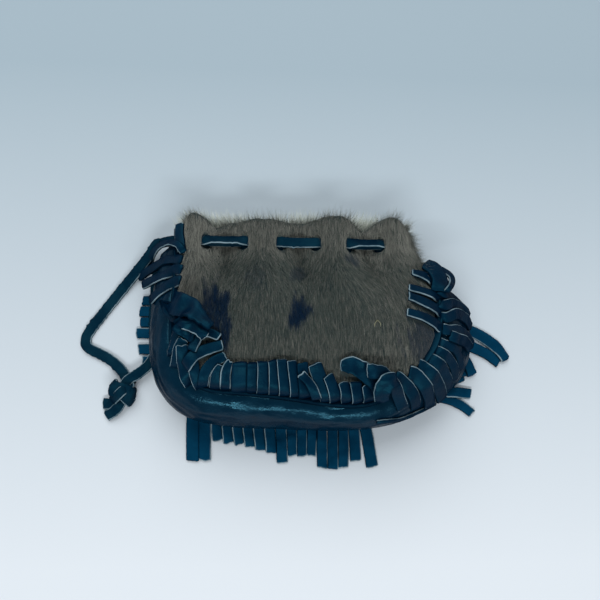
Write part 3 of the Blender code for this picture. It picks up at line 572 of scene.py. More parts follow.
# Panels: front and back are hair-on hide, flesh side in, each sewn to the gusset all round and
# gathered along the mouth. The front hide is coloured like the roots of the hair that grows on it;
# the back hide is pale along its rim and dark below it, its dull flesh side darkened as painted
# shade of the pouch's inside seen through the slits.
FUR_WARM = (0.195, 0.200, 0.180)
FUR_GREY = (0.104, 0.135, 0.122)
FUR_DEEP = (0.035, 0.058, 0.060)
FUR_NAVY = (0.0006, 0.0210, 0.0620)
# how far the rim stands above (or below) its even curve: x, rise
RIM_RISE = ((-62, 0), (-51.2, 0.3), (-47.4, -1.2), (-41.5, 3.3), (-36.5, 2.1), (-27.3, 0),
            (-19.8, 1.8), (-13.1, 2.9), (-6.4, 1.8), (3.3, 0), (9.5, 1.8), (15, 1.6), (20, 1.8),
            (28.4, 0), (40, 0))
RIM_START = 44.0
rim_places, rim_heights = zip(*RIM_RISE)


def rim_rise(p, n):
    """The uneven rim of the front panel."""
    rise = np.interp(p.x, rim_places, rim_heights)
    return Vector((0, rise * min(1.0, max(0.0, (p.y - RIM_START) / 2.5)), 0))


front_mesh = subdivided(cad_copy("front_panel"), "front_hide", 2)
shift_points(front_mesh, rim_rise)
back_mesh = subdivided(cad_copy("back_panel"), "back_hide", 2)
shift_points(back_mesh, drawn_in)


def hide(name, dark, light, rim=None):
    """The skin under the hair, dull and uneven, and of its own colour along the mouth."""
    material = leather(name, dark, light, 0.9, 0.5, cells=900.0, creases=700.0)
    if rim:
        tree = material.node_tree
        shader = next(n for n in tree.nodes if n.type == "BSDF_PRINCIPLED")
        both = add_node(tree, "ShaderNodeMix", data_type="RGBA")
        tree.links.new(mask_along_y(tree, 0.0455, 0.0475), both.inputs["Factor"])
        tree.links.new(shader.inputs["Base Color"].links[0].from_socket, both.inputs["A"])
        both.inputs["B"].default_value = (*rim, 1.0)
        tree.links.new(both.outputs["Result"], shader.inputs["Base Color"])
    return material


front_skin = hide("front_hide", (0.020, 0.034, 0.038), (0.070, 0.078, 0.070))
# the back hide is dark below its rim: its dull flesh side, darkened as painted shade of the pouch's
# inside seen through the slits
back_flesh_painted_shade = hide("back_hide", (0.030, 0.050, 0.060), (0.070, 0.100, 0.110), rim=(0.26, 0.31, 0.27))
place_piece("front_hide", front_mesh, [front_skin], "front_hide", "front_panel")
place_piece("back_hide", back_mesh, [back_flesh_painted_shade], "back_hide", "back_panel")

# Fringed welts: a strip of black leather is sewn into each seam and its outer part is cut by hand
# into fringe. Each strip lies on the hair, the gusset, the table or the strip before it, and its
# uppermost cut edge is painted light, partly as wear and partly as a painted highlight.
HAIR_DEPTH = 0.9
STRIP_STEP = 1.0
STRIP_CLEAR = 0.08         # a strip's clearance from what it lies on
STEEPEST = 1.2             # most that a strip falls per millimetre of its run
ROOT_RUN = 2.5             # length over which a root sinks into its seam
ROOT_SINK = 0.7
BACK_ROOT_HEIGHT = 2.3
WELT_TUCK = 1.8            # width of a welt inside its seam, and then outside it
WELT_SHOW = 1.9
HIGH = 80.0                # above everything
ACROSS = (-1.0, -0.5, 0.0, 0.5, 1.0)
BACK_SEAM = (
    (-62.6, 45.0, 6.5), (-64.3, 39.1, 5.2), (-67.4, 28.1, 3.4), (-68.4, 16.1, 2.9),
    (-69.0, 4.1, 2.9), (-68.2, -7.9, 2.9), (-64.0, -19.9, 2.9), (-54.6, -27.9, 2.9),
    (-38.6, -31.5, 2.9), (-18.6, -33.1, 2.9), (1.4, -33.3, 2.9), (19.4, -31.5, 2.9),
    (36.4, -27.3, 2.9), (49.4, -20.3, 2.9), (58.0, -9.9, 2.9), (61.0, 2.6, 2.9),
    (57.0, 15.1, 2.9), (47.5, 26.1, 3.4), (41.0, 36.1, 5.2), (38.4, 45.0, 6.5))
# rows of strips in the order they were laid: side of the light-painted arris (wear and painted
# highlight), width or widths, and points from root to tip, with a lift above what lies below where
# a strip is folded
FRONT_FRINGE = (
    # top of the left side, hanging outward
    (1, (3.7, 4.1, 4.1, 3.7), (-59.9, 33.9), (-60.8, 37.8), (-61.5, 42), (-61.5, 46.7)),
    (1, (3.2, 2.8, 2.6, 2.6, 2.6, 2.4),
     (-59, 33.2), (-61.9, 36.8), (-66, 38.9), (-70.2, 38.9), (-73.6, 36.4), (-75.3, 32.2)),
    (0, (4.4, 4, 3.6, 3.6, 3.6),
     (-59.6, 29.3), (-62.4, 30.8), (-67.4, 31.5), (-73.4, 30), (-80, 28.1)),
    (1, (4.4, 4.4, 4, 4, 3.8),
     (-59.3, 25.1), (-62.1, 25.8), (-65.9, 24.7), (-71.1, 24.1), (-77.2, 23.3)),
    (1, (4.4, 4.4, 4, 3.6, 3.6),
     (-59.4, 20.6), (-62.1, 20.4), (-65.5, 18.8), (-69, 17.1), (-72.4, 14.8)),
    # left side, folded in over the hair
    (0.55, (5, 5, 5, 4.6), (-60.9, -9.5), (-60.1, -6.2), (-59.4, -2.5), (-58.4, 1.7)),
    (0.55, (4.6, 4.6, 4.6, 4.2), (-60, -14), (-59.2, -11.5), (-58.4, -7.6), (-56.9, -3.9)),
    (0.55, (5, 5, 5, 4.6), (-54.4, -20.1), (-55.7, -17.5), (-56.7, -12.2), (-57.4, -6.5)),
    (0.55, (4.2, 4.2, 4.2, 3.8), (-50.6, -21.3), (-51.7, -18.8), (-52.8, -14.5), (-53.3, -10.1)),
    (-1, (4.6, 4.6, 4.2, 3.8), (-55.9, -14.6), (-52.5, -10.3), (-48, -7.9), (-42, -6.3)),
    (-1, (3.8, 3.4, 3.4, 3.4, 3),
     (-53.7, -8.7), (-51.4, -3.5), (-48.6, -1.6), (-45.9, -2.1), (-43.2, -3.5)),
    (-1, (4.2, 4.2, 4.6, 4.6, 4.6, 4.2, 3.4),
     (-53.1, -3.7, 0.5), (-56.3, -1.2, 0.6), (-58.9, 0.5, 1.5), (-57.2, 1.6, 2.9), (-54.4, 1.1, 3.1),
     (-51.2, -1, 2.6), (-48.5, -3.8, 1.9)),
    (-1, (9.2, 9.2, 9.6, 9.2, 8.5, 6.5, 4.6, 3.1),
     (-56.5, 5.2, 0.6), (-59.9, 7.9, 0.7), (-62.3, 10.8, 2), (-59.6, 9.7, 3.3), (-55.9, 7.9, 3.5),
     (-52.3, 5.3, 3), (-49.1, 2.1, 2.2), (-46.3, -0.5, 1.6)),
    (-1, (4.2, 4.2, 4.2, 3.8), (-49.4, -21.4), (-48.2, -16.1), (-45.3, -12.6), (-40.8, -10.4)),
    (0.55, (4.1, 3.8, 3.4), (-45, -22.7), (-44.1, -16.8), (-42.2, -13.9)),
    (2, (4.1, 4.1, 2.6), (-40.9, -22.7), (-40.7, -16.4), (-39.1, -12.2)),
    # bottom, laid back over the hair
    (0, (6.1, 6.1, 5.4), (-35.5, -24.1), (-35.6, -17.9), (-35.5, -12.8)),
    (0, (4.2, 4.2, 4), (-30.7, -24), (-30.8, -17.9), (-30.7, -13.1)),
    (0.45, (4.6, 4.4, 4.4), (-26.7, -24.4), (-26.8, -17.9), (-26.8, -12.5)),
    (0.45, (4, 3.8, 3.5), (-22.3, -24.8), (-22.8, -17.8), (-23.3, -12.1)),
    (0.45, (4.4, 4.2, 4.2), (-18.2, -25.1), (-19.1, -18.2), (-19.8, -11.7)),
    (0.45, (4.2, 4, 3.8), (-14.2, -25.5), (-15.1, -18.5), (-16.2, -12)),
    (0, (4.5, 4.5, 4.2), (-10.7, -26), (-11.5, -18.9), (-12, -12.7)),
    (0.45, (5.3, 5.5, 5.3), (-1.9, -26.5), (-4.6, -19.9), (-7.4, -13.1)),
    (-1, (3.8, 3.6, 3.4), (-6.1, -26), (-9.1, -20.5), (-12.8, -17)),
    (0.45, (4.8, 4.6, 4.2), (1.4, -27.2), (-0.5, -21.5), (-2.3, -17.3)),
    (0.45, (4.8, 4.6, 4.4), (5.8, -27.5), (4.5, -22.8), (3.5, -19.8)),
    (0.45, (5, 4.8, 4.6), (10.1, -27.5), (8.8, -22.8), (8.4, -19.6)),
    (0.45, (5, 4.8, 4.4), (14.4, -27.1), (13.3, -23.1), (12.7, -20.6)),
    (-1, (5.8, 6.5, 6.9, 6.5, 6.2, 3.8),
     (18.8, -23.8), (16.8, -20.4, 0.7), (13.6, -17.3, 0.9), (9.7, -14.7, 1.1), (6.1, -13.4, 1.2),
     (2.5, -13.7, 0.6)),
    (-1, (3.5, 4.6, 5.8, 5.8, 4.6),
     (22.6, -22.6), (21.1, -20, 0.8), (18.7, -17, 1), (15.6, -16.1, 1.2), (12.2, -15.8, 0.8)),
    (0, (5, 4.6, 4.2), (20, -21.9, 0.6), (19.1, -24), (18, -26.2)),
    # lower right corner, hanging over the gusset
    (1, 1.6, (17.6, -34.2), (27.7, -32.9), (34.8, -30.3), (39.2, -28.4), (44.7, -25.7)),
    (1, (4.8, 4.4, 4, 3.8, 3.6),
     (43.1, -2.7), (45.9, -3.7), (50.3, -4.6), (53.1, -8.1), (54.2, -12.8)),
    (1, (5.2, 4.8, 4.4, 4.2, 4),
     (40.9, -6), (43.4, -7.1), (47.8, -9.1), (50.7, -12.7), (51.4, -17)),
    (1, (5.6, 5.2, 5, 4.8, 4.6),
     (37.7, -9), (40, -10.2), (44.6, -12.9), (47.9, -17.6), (49.1, -20.6)),
    (1, (5.9, 5.5, 5.5, 5.3, 5.1),
     (34, -12.4), (36.4, -13.6), (41.1, -17), (45.1, -22.1), (46.6, -24.6)),
    (1, (5.8, 5.8, 5.6, 5.4, 5.1),
     (29.7, -15.5), (32.5, -16.3), (36.9, -20.3), (39.9, -24.6), (41, -27.4)),
    (1, (5.4, 5.4, 5.2, 5, 4.8),
     (23.9, -17.3), (25.7, -18.3), (30.2, -21.5), (32.9, -25), (34.2, -28.5)),
    (1, (4.6, 5, 5, 5), (19.9, -17), (22.1, -19), (24.6, -23), (28.2, -29)),
    (-1, (4.6, 5.8, 6.2, 5.8, 5),
     (23.9, -18.8), (20.7, -19.4, 1.6), (18.4, -21.5, 2), (17.6, -24.2, 1.6), (18.3, -26.8, 0.8)),
    # right side, laid in over the hair
    (1, (4.1, 4.1, 3.9, 3.1), (47.6, 2), (44.8, 3.1), (37.4, 6.3), (29.3, 8.1)),
    (1, (4.5, 4.5, 4.1, 3.7), (48.1, 8.4), (45.4, 9.8), (38.9, 12.4), (30.4, 15.1)),
    (1, (4.1, 4.1, 3.5, 3.1), (48.2, 14.1), (45.1, 15.9), (38.6, 17.6), (31, 18.8)),
    (1, (5.4, 5, 4.2, 2.7), (47.5, 19.5), (44.5, 22.4), (39.7, 24.8), (33.5, 26.1)),
    # right side, hanging outward
    (0, (4.5, 4.5, 4.1, 3.7, 3.3),
     (44.7, 19.2), (47.2, 18), (52.1, 17.1), (56.7, 14.5), (61, 10.9)),
    (1, (4.5, 4.5, 4.3, 4.1, 3.7),
     (44.7, 13.2), (46.8, 12.6), (51.6, 14.2), (56.6, 13.4), (60.2, 10.7)),
    (1, (4.5, 4.5, 4.5, 4.3, 4.1), (44.9, 7.9), (47.4, 7.6), (52.7, 10), (57.7, 9.3), (61.6, 6.5)),
    (1, (4.4, 4.4, 4.4, 4.4, 4), (44.7, 2.7), (48.2, 2.4), (53.2, 3.2), (58.2, 2), (62.7, -0.8)),
    (1, (4.5, 4.5, 4.7, 4.5), (48.1, 0.1), (51.4, -0.8), (56.3, -1), (60.3, -3.1)),
    (0, (7.4, 7.8, 7.8, 5.8), (44.9, 18.3), (45.5, 22.9), (43.8, 28), (40.3, 31.2)),
    (1, (2.7, 2.7, 2.5, 2.7, 2.7),
     (47.2, 18), (51.1, 23.2), (52.1, 27.2), (50, 31.4), (46.2, 34.9)),
)
BACK_FRINGE = (
    (0, (4, 4, 3.8), (-69.2, 17.8), (-72.7, 18), (-77.7, 17.9)),
    (0, (4.4, 4.4, 4.2), (-69.4, 13), (-72.9, 13.2), (-78.7, 13.1)),
    (0, (4.2, 4.2, 4), (-69.6, 8.3), (-73.1, 8.6), (-78.2, 8.5)),
    (-1, (4.4, 4.4, 4.2), (-69.4, 3.2), (-72.9, 3.7), (-79.7, 3.8)),
    (-1, (4.4, 4.4, 4.2), (-69.1, -3.2), (-72.6, -2.9), (-78.5, -3)),
    (-1, (4.6, 4.6, 4.4), (-68.5, -8.3), (-71.9, -8), (-76.6, -8.3)),
    (0, (4.9, 5.1, 5.1), (-54.6, -28.4), (-54.7, -35.6), (-54.2, -48.9)),
    (1, (4.9, 4.9, 4.7), (-49.7, -29.2), (-49.6, -35.6), (-49.2, -48.7)),
    (-1, 4.5, (-45.1, -30), (-44.9, -35.2), (-44.1, -40.7)),
    (-1, 4.5, (-40.8, -30.8), (-40.5, -35.6), (-39.6, -41.7)),
    (-1, 4.5, (-36.5, -31.2), (-36.2, -36.4), (-35, -42.2)),
    (-1, 4.5, (-32.2, -31.6), (-31.9, -36.4), (-30.7, -43.3)),
    (-1, 4.6, (-27.8, -31.9), (-27.5, -37.2), (-26.4, -44.5)),
    (-1, 4.6, (-23.3, -32.3), (-22.9, -37.2), (-22, -45.7)),
    (1, 4.6, (-18.3, -32.7), (-18, -38.4), (-17.5, -49.7)),
    (1, (4.1, 4.1, 3.7), (-13.7, -33.1), (-13.6, -38.3), (-13.3, -46.9)),
    (1, (4.4, 4.2, 3.9), (-9.6, -33.1), (-9.4, -38.3), (-9.4, -47.1)),
    (1, (4.2, 4.2, 3.7), (-5.4, -33.1), (-5.2, -38.3), (-5.5, -46.9)),
    (1, 4.4, (-1.2, -33.1), (-1.1, -38.7), (-0.9, -51.7)),
    (1, 4.4, (3.2, -32.6), (3.6, -38.7), (3.4, -52.1)),
    (1, (4.4, 4.4, 4.2), (7.6, -32.6), (8, -38.7), (7.8, -51.7)),
    (1, 4.6, (11.8, -32.2), (12.6, -37.9), (13.1, -48.9)),
    (1, 5, (16.5, -31.7), (17.9, -37.8), (20, -51.3)),
    (1, (3.8, 3.8, 4, 4, 3.8),
     (46.5, -21.2), (49.3, -22.4), (54.3, -23.5), (59.3, -25.7), (63.7, -29.1)),
    (-1, (4.2, 4.2, 4.5, 4.2), (49.2, -18.7), (52.1, -20.2), (57.8, -20.2), (63.7, -20.8)),
    (0, (4.3, 4.3, 4, 3.4), (51, -16.9), (54.1, -15.5), (57.7, -14.4), (60.8, -13.3)),
    (0, (3.4, 3.4, 3.4, 3), (52.6, -1.5), (56, -4.2), (59.3, -7.9), (60.4, -13.5)),
    (0, 4.7, (55.1, 1.4), (58.2, -1.5), (61.7, -6.1), (64.2, -12.6)),
    (0, (4.7, 4.7, 4.7, 4.5, 3.9),
     (56.3, 4.4), (60.2, 2.3), (65.9, -0.6), (71.6, -3.4), (76.7, -7.5)),
    (-1, (4.7, 4.7, 4.7, 5.1, 5.1, 4.3),
     (53.6, 12.5), (58.4, 9.9), (63.8, 7.3), (70, 4.2), (75.8, -0.2), (79.7, -5.9)),
)


def mesh_tree(mesh):
    """A search tree of a mesh, in millimetres."""
    verts = [v.co / MM for v in mesh.vertices]
    return BVHTree.FromPolygons(verts, [tuple(p.vertices) for p in mesh.polygons])


def height_below(beds, x, y):
    """Height of the highest bed under a spot, from (tree, added height) pairs."""
    best = 0.0
    for tree, added in beds:
        hit = tree.ray_cast(Vector((x, y, HIGH)), Vector((0, 0, -1)))[0]
        if hit is not None:
            best = max(best, hit.z + added)
    return best


def laid_strip(row, beds, seed, root_height=None):
    """A fringe strip draped over the beds."""
    lit, widths, *points = row
    spine = np.array([p if len(p) == 3 else (*p, 0.0) for p in points], float)
    folded = any(len(p) == 3 for p in points)
    count = max(7, int(line_length(spine) / STRIP_STEP) + 1)
    line = smooth_line(spine, count)
    place = np.concatenate([[0.0], np.cumsum(np.linalg.norm(np.diff(spine, axis=0), axis=1))])
    wide = np.interp(np.linspace(0, place[-1], count), place, np.broadcast_to(widths, len(place)))
    plan = ways_along(line)[:, :2]
    across = np.column_stack([-plan[:, 1], plan[:, 0], np.zeros(count)])
    for k in range(1, count):
        if across[k] @ across[k - 1] < 0:
            across[k] = -across[k]
    across = unit_rows(across)
    bed = np.array([[height_below(beds, *(line[k, :2] + across[k, :2] * wide[k] * 0.5 * f))
                     for f in ACROSS] for k in range(count)])
    tilt = np.clip(bed[:, 4] - bed[:, 0], -0.45 * wide, 0.45 * wide)
    for _ in range(2):
        tilt[1:-1] = (tilt[:-2] + tilt[1:-1] * 2 + tilt[2:]) / 4
    level = np.array([max(bed[k, j] - tilt[k] * f / 2 for j, f in enumerate(ACROSS))
                      for k in range(count)])
    gap = line_length(line) / (count - 1)
    if root_height is not None:
        level[0] = root_height
    if not folded:
        for k in range(1, count):
            level[k] = max(level[k], level[k - 1] - STEEPEST * gap)
        for k in range(count - 2, 0, -1):
            level[k] = max(level[k], level[k + 1] - STEEPEST * gap)
    for _ in range(3):
        eased = level.copy()
        eased[1:-1] = (level[:-2] + level[2:]) / 2
        level = np.maximum(level, eased) if not folded else (level + eased) / 2
    sink = np.clip(1 - np.arange(count) * gap / ROOT_RUN, 0, 1) ** 2
    sink *= ROOT_SINK if root_height is None else 0.0
    middle = level + line[:, 2] + LACE_THICK / 2 + STRIP_CLEAR - sink
    path = np.column_stack([line[:, 0], line[:, 1], middle])
    sides = unit_rows(across * wide[:, None] + np.outer(tilt, (0, 0, 1)))
    ways = ways_along(path)
    sides = unit_rows(sides - ways * (sides * ways).sum(axis=1, keepdims=True))
    if not folded:
        flip = np.sign((np.cross(ways, sides)[:, 2]))
        sides *= np.where(flip == 0, 1, flip)[:, None]
    return strip_solid(path, sides, wide, lit, seed, cup=0.08 if folded else 0.20,
                       wave=1.1 if folded else 0.12)


def welt_band(points, rise, seed):
    """The uncut part of a welt, from its sewn margin to where the cuts begin."""
    path = smooth_line(points, 200)
    ways = ways_along(path)
    out = unit_rows(np.column_stack([ways[:, 1], -ways[:, 0], np.full(len(path), rise)]))
    middle = path + out * (WELT_SHOW - WELT_TUCK) / 2
    wide = [WELT_TUCK + WELT_SHOW] * len(path)
    return strip_solid(middle, -out, wide, 0, seed, ragged=0.0, cup=0.0)


welt_face = leather("welt_face", DYE, DYE_LIGHT, 0.42, 0.35, shine=1.27)
back_face = leather("back_welt_face", (0.0004, 0.0235, 0.0570), (0.0014, 0.0360, 0.0810), 0.6, 0.5)
welt_side = leather("welt_side", (0.0004, 0.0060, 0.0170), (0.002, 0.014, 0.028), 0.75, 0.6)
WELT_FINISH = (welt_face, edge_wear_and_highlight, welt_side)
front_tree = mesh_tree(front_mesh)
beds = [(mesh_tree(gusset_mesh), 0.05), (front_tree, HAIR_DEPTH), (mesh_tree(woven_mesh), 0.05)]
front_strips = []
for index, row in enumerate(FRONT_FRINGE):
    strip = laid_strip(row, beds, seed=index * 1.7)
    beds.append((BVHTree.FromBMesh(strip), 0.1))
    front_strips.append(strip)
strip_trees = [tree for tree, _ in beds[3:]]
front_welt_mesh = mesh_of("front_welt", [welt_band(FRONT_SEAM, 0.55, 50.0)] + front_strips)
place_piece("front_welt", front_welt_mesh, WELT_FINISH, "front_fringe_leather", "front_fringe")
beds = []
back_strips = []
for index, row in enumerate(BACK_FRINGE):
    strip = laid_strip(row, beds, seed=index * 2.3 + 0.4, root_height=BACK_ROOT_HEIGHT)
    beds.append((BVHTree.FromBMesh(strip), 0.1))
    back_strips.append(strip)
back_welt_mesh = mesh_of("back_welt", [welt_band(BACK_SEAM[:-2], 0.0, 60.0)] + back_strips)
place_piece("back_welt", back_welt_mesh, (back_face, edge_wear_and_highlight, welt_side), "back_fringe_leather",
            "back_fringe")

# Hair of the front panel: short stiff hair that lies down the panel from the mouth, fans out
# under the gathers and parts at the sides. It is greyish brown with navy blotches.
random = np.random.default_rng(7)


def surface_spots(mesh, count, keep):
    """Random spots, with their normals, on the faces of a mesh that keep() accepts."""
    mesh.calc_loop_triangles()
    tris = np.empty(len(mesh.loop_triangles) * 3, np.int64)
    mesh.loop_triangles.foreach_get("vertices", tris)
    tris = tris.reshape(-1, 3)
    co = np.empty(len(mesh.vertices) * 3)
    mesh.vertices.foreach_get("co", co)
    co = co.reshape(-1, 3) / MM
    a, b, c = co[tris[:, 0]], co[tris[:, 1]], co[tris[:, 2]]
    cross = np.cross(b - a, c - a)
    area = np.linalg.norm(cross, axis=1) / 2
    normal = cross / np.maximum(area[:, None] * 2, 1e-12)
    centre = (a + b + c) / 3
    good = keep(centre, normal)
    weight = area * good
    pick = random.choice(len(tris), size=count, p=weight / weight.sum())
    u, v = random.random(count), random.random(count)
    flip = u + v > 1
    u[flip], v[flip] = 1 - u[flip], 1 - v[flip]
    spots = a[pick] + (b[pick] - a[pick]) * u[:, None] + (c[pick] - a[pick]) * v[:, None]
    return spots, normal[pick]


def hair_mesh(name, roots, mids, tips, sides, widths, tones):
    """Every hair as a closed three-sided spike through three points, with its tone stored."""
    one = bmesh.new()
    bmesh.ops.create_cone(one, cap_ends=True, cap_tris=False, segments=3, radius1=1.0, radius2=0.0,
                          depth=1.0)
    shafts = [e for e in one.edges if abs(e.verts[0].co.z - e.verts[1].co.z) > 0.5]
    bmesh.ops.subdivide_edges(one, edges=shafts, cuts=1)
    bmesh.ops.remove_doubles(one, verts=one.verts[:], dist=1e-5)
    one.verts.ensure_lookup_table()
    base = np.array([tuple(v.co) for v in one.verts])
    faces = [[v.index for v in f.verts] for f in one.faces]
    one.free()
    count = len(roots)
    along = base[:, 2] + 0.5
    t = along[None, :, None]
    line = roots[:, None, :] * (1 - t) * (1 - 2 * t) + mids[:, None, :] * 4 * t * (1 - t) \
        + tips[:, None, :] * t * (2 * t - 1)
    way = tips - roots
    way = way / np.linalg.norm(way, axis=1, keepdims=True)
    lift = np.cross(way, sides)
    co = line + sides[:, None, :] * base[None, :, 0:1] * widths[:, None, None] \
        + lift[:, None, :] * base[None, :, 1:2] * widths[:, None, None]
    co = co.reshape(-1, 3) * MM
    sizes = np.array([len(f) for f in faces])
    flat = np.array([v for f in faces for v in f])
    loops = (flat[None, :] + np.arange(count)[:, None] * len(base)).ravel()
    mesh = bpy.data.meshes.new(name)
    mesh.vertices.add(count * len(base))
    mesh.vertices.foreach_set("co", co.ravel())
    mesh.loops.add(len(loops))
    mesh.loops.foreach_set("vertex_index", loops)
    mesh.polygons.add(count * len(faces))
    mesh.polygons.foreach_set("loop_start", np.concatenate(
        [[0], np.cumsum(np.tile(sizes, count))[:-1]]))
    mesh.update(calc_edges=True)
    stored = mesh.color_attributes.new("tone", "FLOAT_COLOR", "POINT")
    values = np.zeros((count, len(base), 4))
    values[:, :, 0] = tones[:, 0:1]
    values[:, :, 1] = tones[:, 1:2]
    values[:, :, 2] = along[None, :]
    values[:, :, 3] = 1.0
    stored.data.foreach_set("color", values.ravel())
    shade_smooth(mesh)
    mesh.validate()
    return mesh


def fur_material(name, stops, navy, roughness=0.55):
    """Hair colour from its stored tone (0 dark to 1 light) and its blotch share, darkened toward the
    root and lightened toward the tip as painted shade among the hairs.
    """
    material, tree, shader = new_material(name)
    link = tree.links.new
    tone = add_node(tree, "ShaderNodeAttribute", attribute_name="tone")
    parts = add_node(tree, "ShaderNodeSeparateColor")
    link(tone.outputs["Color"], parts.inputs["Color"])
    own = colour_ramp(tree, parts.outputs["Red"], stops)
    blotch = add_node(tree, "ShaderNodeMix", data_type="RGBA")
    link(parts.outputs["Green"], blotch.inputs["Factor"])
    link(own, blotch.inputs["A"])
    blotch.inputs["B"].default_value = (*navy, 1.0)
    # painted shade: each hair is darkened toward its root, where it lies in the shade of the others,
    # and lightened toward its tip
    painted_root_shade = add_node(tree, "ShaderNodeMapRange", **{"To Min": 0.45, "To Max": 1.12})
    link(parts.outputs["Blue"], painted_root_shade.inputs["Value"])
    shaded = add_node(tree, "ShaderNodeVectorMath", operation="SCALE")
    link(blotch.outputs["Result"], shaded.inputs[0])
    link(painted_root_shade.outputs[0], shaded.inputs["Scale"])
    link(shaded.outputs["Vector"], shader.inputs["Base Color"])
    shader.inputs["Roughness"].default_value = roughness
    shader.inputs["Specular IOR Level"].default_value = 0.12
    return material


def plain_tones(mean, spread, count):
    """Random tones for hairs outside any blotch."""
    return np.column_stack([np.clip(random.normal(mean, spread, count), 0, 1), np.zeros(count)])


def noise_at(points, scale, seed):
    """Smooth noise for many points, with its own scale on each axis."""
    return np.array([noise.noise(Vector((x * scale[0] + seed, y * scale[1] - seed, z * scale[2])))
                     for x, y, z in points])


# places and half sizes of the navy blotches of the front panel: x, y, half width, half height, share
BLOTCHES = ((-46.4, 7.5, 5.0, 12.5, 1.0), (-41.2, 4.0, 1.9, 11.0, 1.0), (-43.6, 10.0, 2.6, 8.0, 1.0),
            (-14.0, 8.8, 2.8, 6.2, 1.0), (-10.9, 10.0, 2.5, 2.8, 0.95), (-13.0, 26.5, 3.6, 3.2, 0.45),
            (9.0, 34.0, 3.0, 2.4, 0.5), (-30.0, 24.0, 3.0, 5.0, 0.25), (37.0, 0.0, 8.0, 9.5, 0.62),
            (-44.5, -6.0, 4.5, 4.0, 0.55), (-56.0, 5.0, 3.0, 9.0, 0.5))


def blotch_share(points):
    """How far each point lies in a navy blotch, with a ragged edge drawn out along the hair."""
    share = np.zeros(len(points))
    wobble = noise_at(points, (0.45, 0.16, 0.3), 11.0) * 0.75
    wobble += noise_at(points, (1.5, 0.35, 1), 5.0) * 0.45
    for x, y, w, h, full in BLOTCHES:
        far = np.sqrt(((points[:, 0] - x) / w) ** 2 + ((points[:, 1] - y) / h) ** 2) + wobble
        share = np.maximum(share, full * np.clip((1.22 - far) / 0.30, 0, 1))
    return share


def lean(points):
    """Sideways lean of the hair, in radians toward +X, over the front panel."""
    x, y = points[:, 0], points[:, 1]
    left = -0.30 * np.exp(-((x + 62) / 7) ** 2)
    fan = 0.42 * np.exp(-((x - 20) / 14) ** 2 - ((y - 22) / 14) ** 2)
    right = 0.35 * np.exp(-((x - 44) / 14) ** 2) * np.clip((30 - y) / 20, 0, 1)
    return left + fan + right + noise_at(points, (0.05, 0.04, 0.05), 3.0) * 0.18


def on_surface(tree, points, height):
    """Each point moved to the given height over the nearest surface."""
    out = np.empty_like(points)
    for k, p in enumerate(points):
        spot = Vector(p)
        place, normal, _, far = tree.find_nearest(spot)
        if abs((spot - place).dot(normal)) < far * 0.7 and far > 0.4:
            out[k] = spot + Vector((0, 0, height[k] * 0.5 - far * 0.12))
        else:
            out[k] = place + normal * height[k]
    return out


FRONT_HAIRS = 52000
ROOT_DEPTH = 0.15
roots, normals = surface_spots(front_mesh, FRONT_HAIRS * 7 // 5, lambda c, n: (n[:, 2] > 0.15))
covered = [any(tree.ray_cast(Vector(p) + Vector((0, 0, 0.3)), Vector((0, 0, 1)), 4.0)[0] is not None
               for tree in strip_trees) for p in roots]
seen = np.flatnonzero(~np.array(covered))[:FRONT_HAIRS]
roots, normals = roots[seen], normals[seen]
angle = lean(roots) + random.normal(0, 0.09, len(roots))
flow = np.column_stack([np.sin(angle), -np.cos(angle), np.zeros(len(roots))])
flow -= normals * (flow * normals).sum(axis=1, keepdims=True)
flow /= np.linalg.norm(flow, axis=1, keepdims=True)
lengths = random.uniform(3.0, 5.6, len(roots))
half = flow * lengths[:, None] * 0.5
mids = on_surface(front_tree, roots + half, random.uniform(0.36, 0.66, len(roots)))
tips = on_surface(front_tree, mids + half, random.uniform(0.30, 0.80, len(roots)))
roots = roots - normals * ROOT_DEPTH
sides = np.cross(normals, flow)
share = blotch_share(roots)
streak = noise_at(roots, (1.9, 0.30, 0.6), 21.0) * 0.30 + random.normal(0, 0.23, len(roots))
warm = 0.46 + streak + 0.42 * np.exp(-((roots[:, 0] + 58) / 10) ** 2)
warm += 0.30 * np.clip((roots[:, 1] - 30) / 10, 0, 1)
warm += 0.12 * np.clip((roots[:, 0] - 8) / 15, 0, 1) + 0.10 * np.clip((4 - roots[:, 1]) / 8, 0, 1)
share = np.clip(share + random.normal(0, 0.05, len(roots)) * (share > 0), 0, 1)
tones = np.column_stack([np.clip(warm, 0, 1), share])
fur_front = fur_material("front_fur", [(0.0, FUR_DEEP), (0.45, FUR_GREY), (0.75, FUR_WARM),
                                       (1.0, (0.36, 0.37, 0.33))], FUR_NAVY)
for index, cut in enumerate(np.array_split(np.arange(len(roots)), 3)):
    name = "front_hair_%d" % (index + 1)
    mesh = hair_mesh(name, roots[cut], mids[cut], tips[cut], sides[cut],
                     random.uniform(0.050, 0.090, len(cut)), tones[cut])
    place_piece(name, mesh, [fur_front], "front_hide")

# Guard hairs: single stiff dark and pale hairs that stand out past the rim of the front panel, and
# one pale fibre caught in the fur at the right.
RIM_HAIRS = 4200
SIDE_HAIRS = 2600
RIM_Y = 46.0
groups = [surface_spots(front_mesh, RIM_HAIRS, lambda c, n: (c[:, 1] > RIM_Y)),
          surface_spots(front_mesh, SIDE_HAIRS, lambda c, n: (
              (c[:, 0] > 33.8 - (c[:, 1] - 45) * 0.28) * (c[:, 1] > 25)))]
roots, normals = (np.vstack(rows) for rows in zip(*groups))
out = np.column_stack([(roots[:, 0] + 12) / 50 * 0.7, np.where(roots[:, 1] > RIM_Y, 1.0, -0.45),
                       np.full(len(roots), 0.25)])
flow = unit_rows(out + random.normal(0, 0.42, out.shape))
lengths = 1.0 + 6.0 * random.random((len(roots), 1)) ** 2
mids = roots + flow * lengths * 0.5 + normals * 0.15
tips = roots + flow * lengths + random.normal(0, 0.25, roots.shape)
sides = unit_rows(np.cross(flow, (0.0, 0.0, 1.0)))
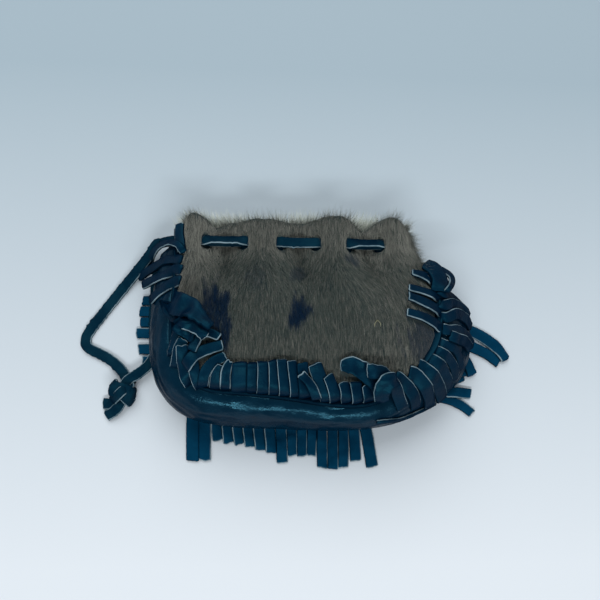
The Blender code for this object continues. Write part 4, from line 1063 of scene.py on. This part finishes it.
tones = plain_tones(0.64, 0.32, len(roots))
widths = random.uniform(0.03, 0.06, len(roots))
guard = hair_mesh("guard_hair", roots, mids, tips, sides, widths, tones)
place_piece("guard_hair", guard, [fur_front], "front_hide")
spot = front_tree.ray_cast(Vector((17.4, 4.5, HIGH)), Vector((0, 0, -1)))[0]
spot = np.array([tuple(spot)] * 2) + (0, 0, 0.9)
ends = spot + ((-1.3, -3.2, 0.2), (1.1, -3.0, 0.4))
fibre = hair_mesh("pale_fibre", spot, (spot + ends) / 2 + ((-0.5, 0, 0.3), (0.6, 0, 0.3)), ends,
                  np.array(((1.0, 0, 0), (1.0, 0, 0))), np.array((0.24, 0.22)), np.zeros((2, 2)))
PALE = (0.66, 0.66, 0.42)
pale = fur_material("pale_fibre", [(0.0, PALE), (1.0, PALE)], FUR_NAVY)
place_piece("pale_fibre", fibre, [pale], "front_hide")

# Hair of the back panel: pale and longer than the front's, seen where it stands out past the mouth.
# It grows from a narrow band along the rim, since the rest of that panel faces the table.
BACK_HAIRS = 9000
BACK_RIM_Y = 46.5
roots, normals = surface_spots(back_mesh, BACK_HAIRS,
                               lambda c, n: (c[:, 1] > BACK_RIM_Y) * (c[:, 2] > 0.4))
angle = (roots[:, 0] + 12.0) / 46.0 * 0.55 + random.normal(0, 0.22, len(roots))
flow = np.column_stack([np.sin(angle), np.cos(angle), random.uniform(0.0, 0.45, len(roots))])
flow /= np.linalg.norm(flow, axis=1, keepdims=True)
lengths = 1.5 + 7.0 * random.random(len(roots)) ** 1.8
mids = roots + flow * lengths[:, None] * 0.5 + normals * 0.3
tips = roots + flow * lengths[:, None] + np.array([0, 0, 0.6]) * random.random((len(roots), 1))
mids[:, 2] = np.maximum(mids[:, 2], 0.15)
tips[:, 2] = np.maximum(tips[:, 2], 0.15)
sides = np.cross(flow, np.array([0.0, 0.0, 1.0]))
sides /= np.linalg.norm(sides, axis=1, keepdims=True)
tones = plain_tones(0.6, 0.25, len(roots))
widths = random.uniform(0.05, 0.09, len(roots))
back_hair = hair_mesh("back_hair", roots, mids, tips, sides, widths, tones)
fur_back = fur_material("back_fur", [(0.0, (0.20, 0.26, 0.20)), (0.35, (0.52, 0.58, 0.48)),
                                     (1.0, (0.86, 0.90, 0.86))], FUR_NAVY)
place_piece("back_hair", back_hair, [fur_back], "back_hide")
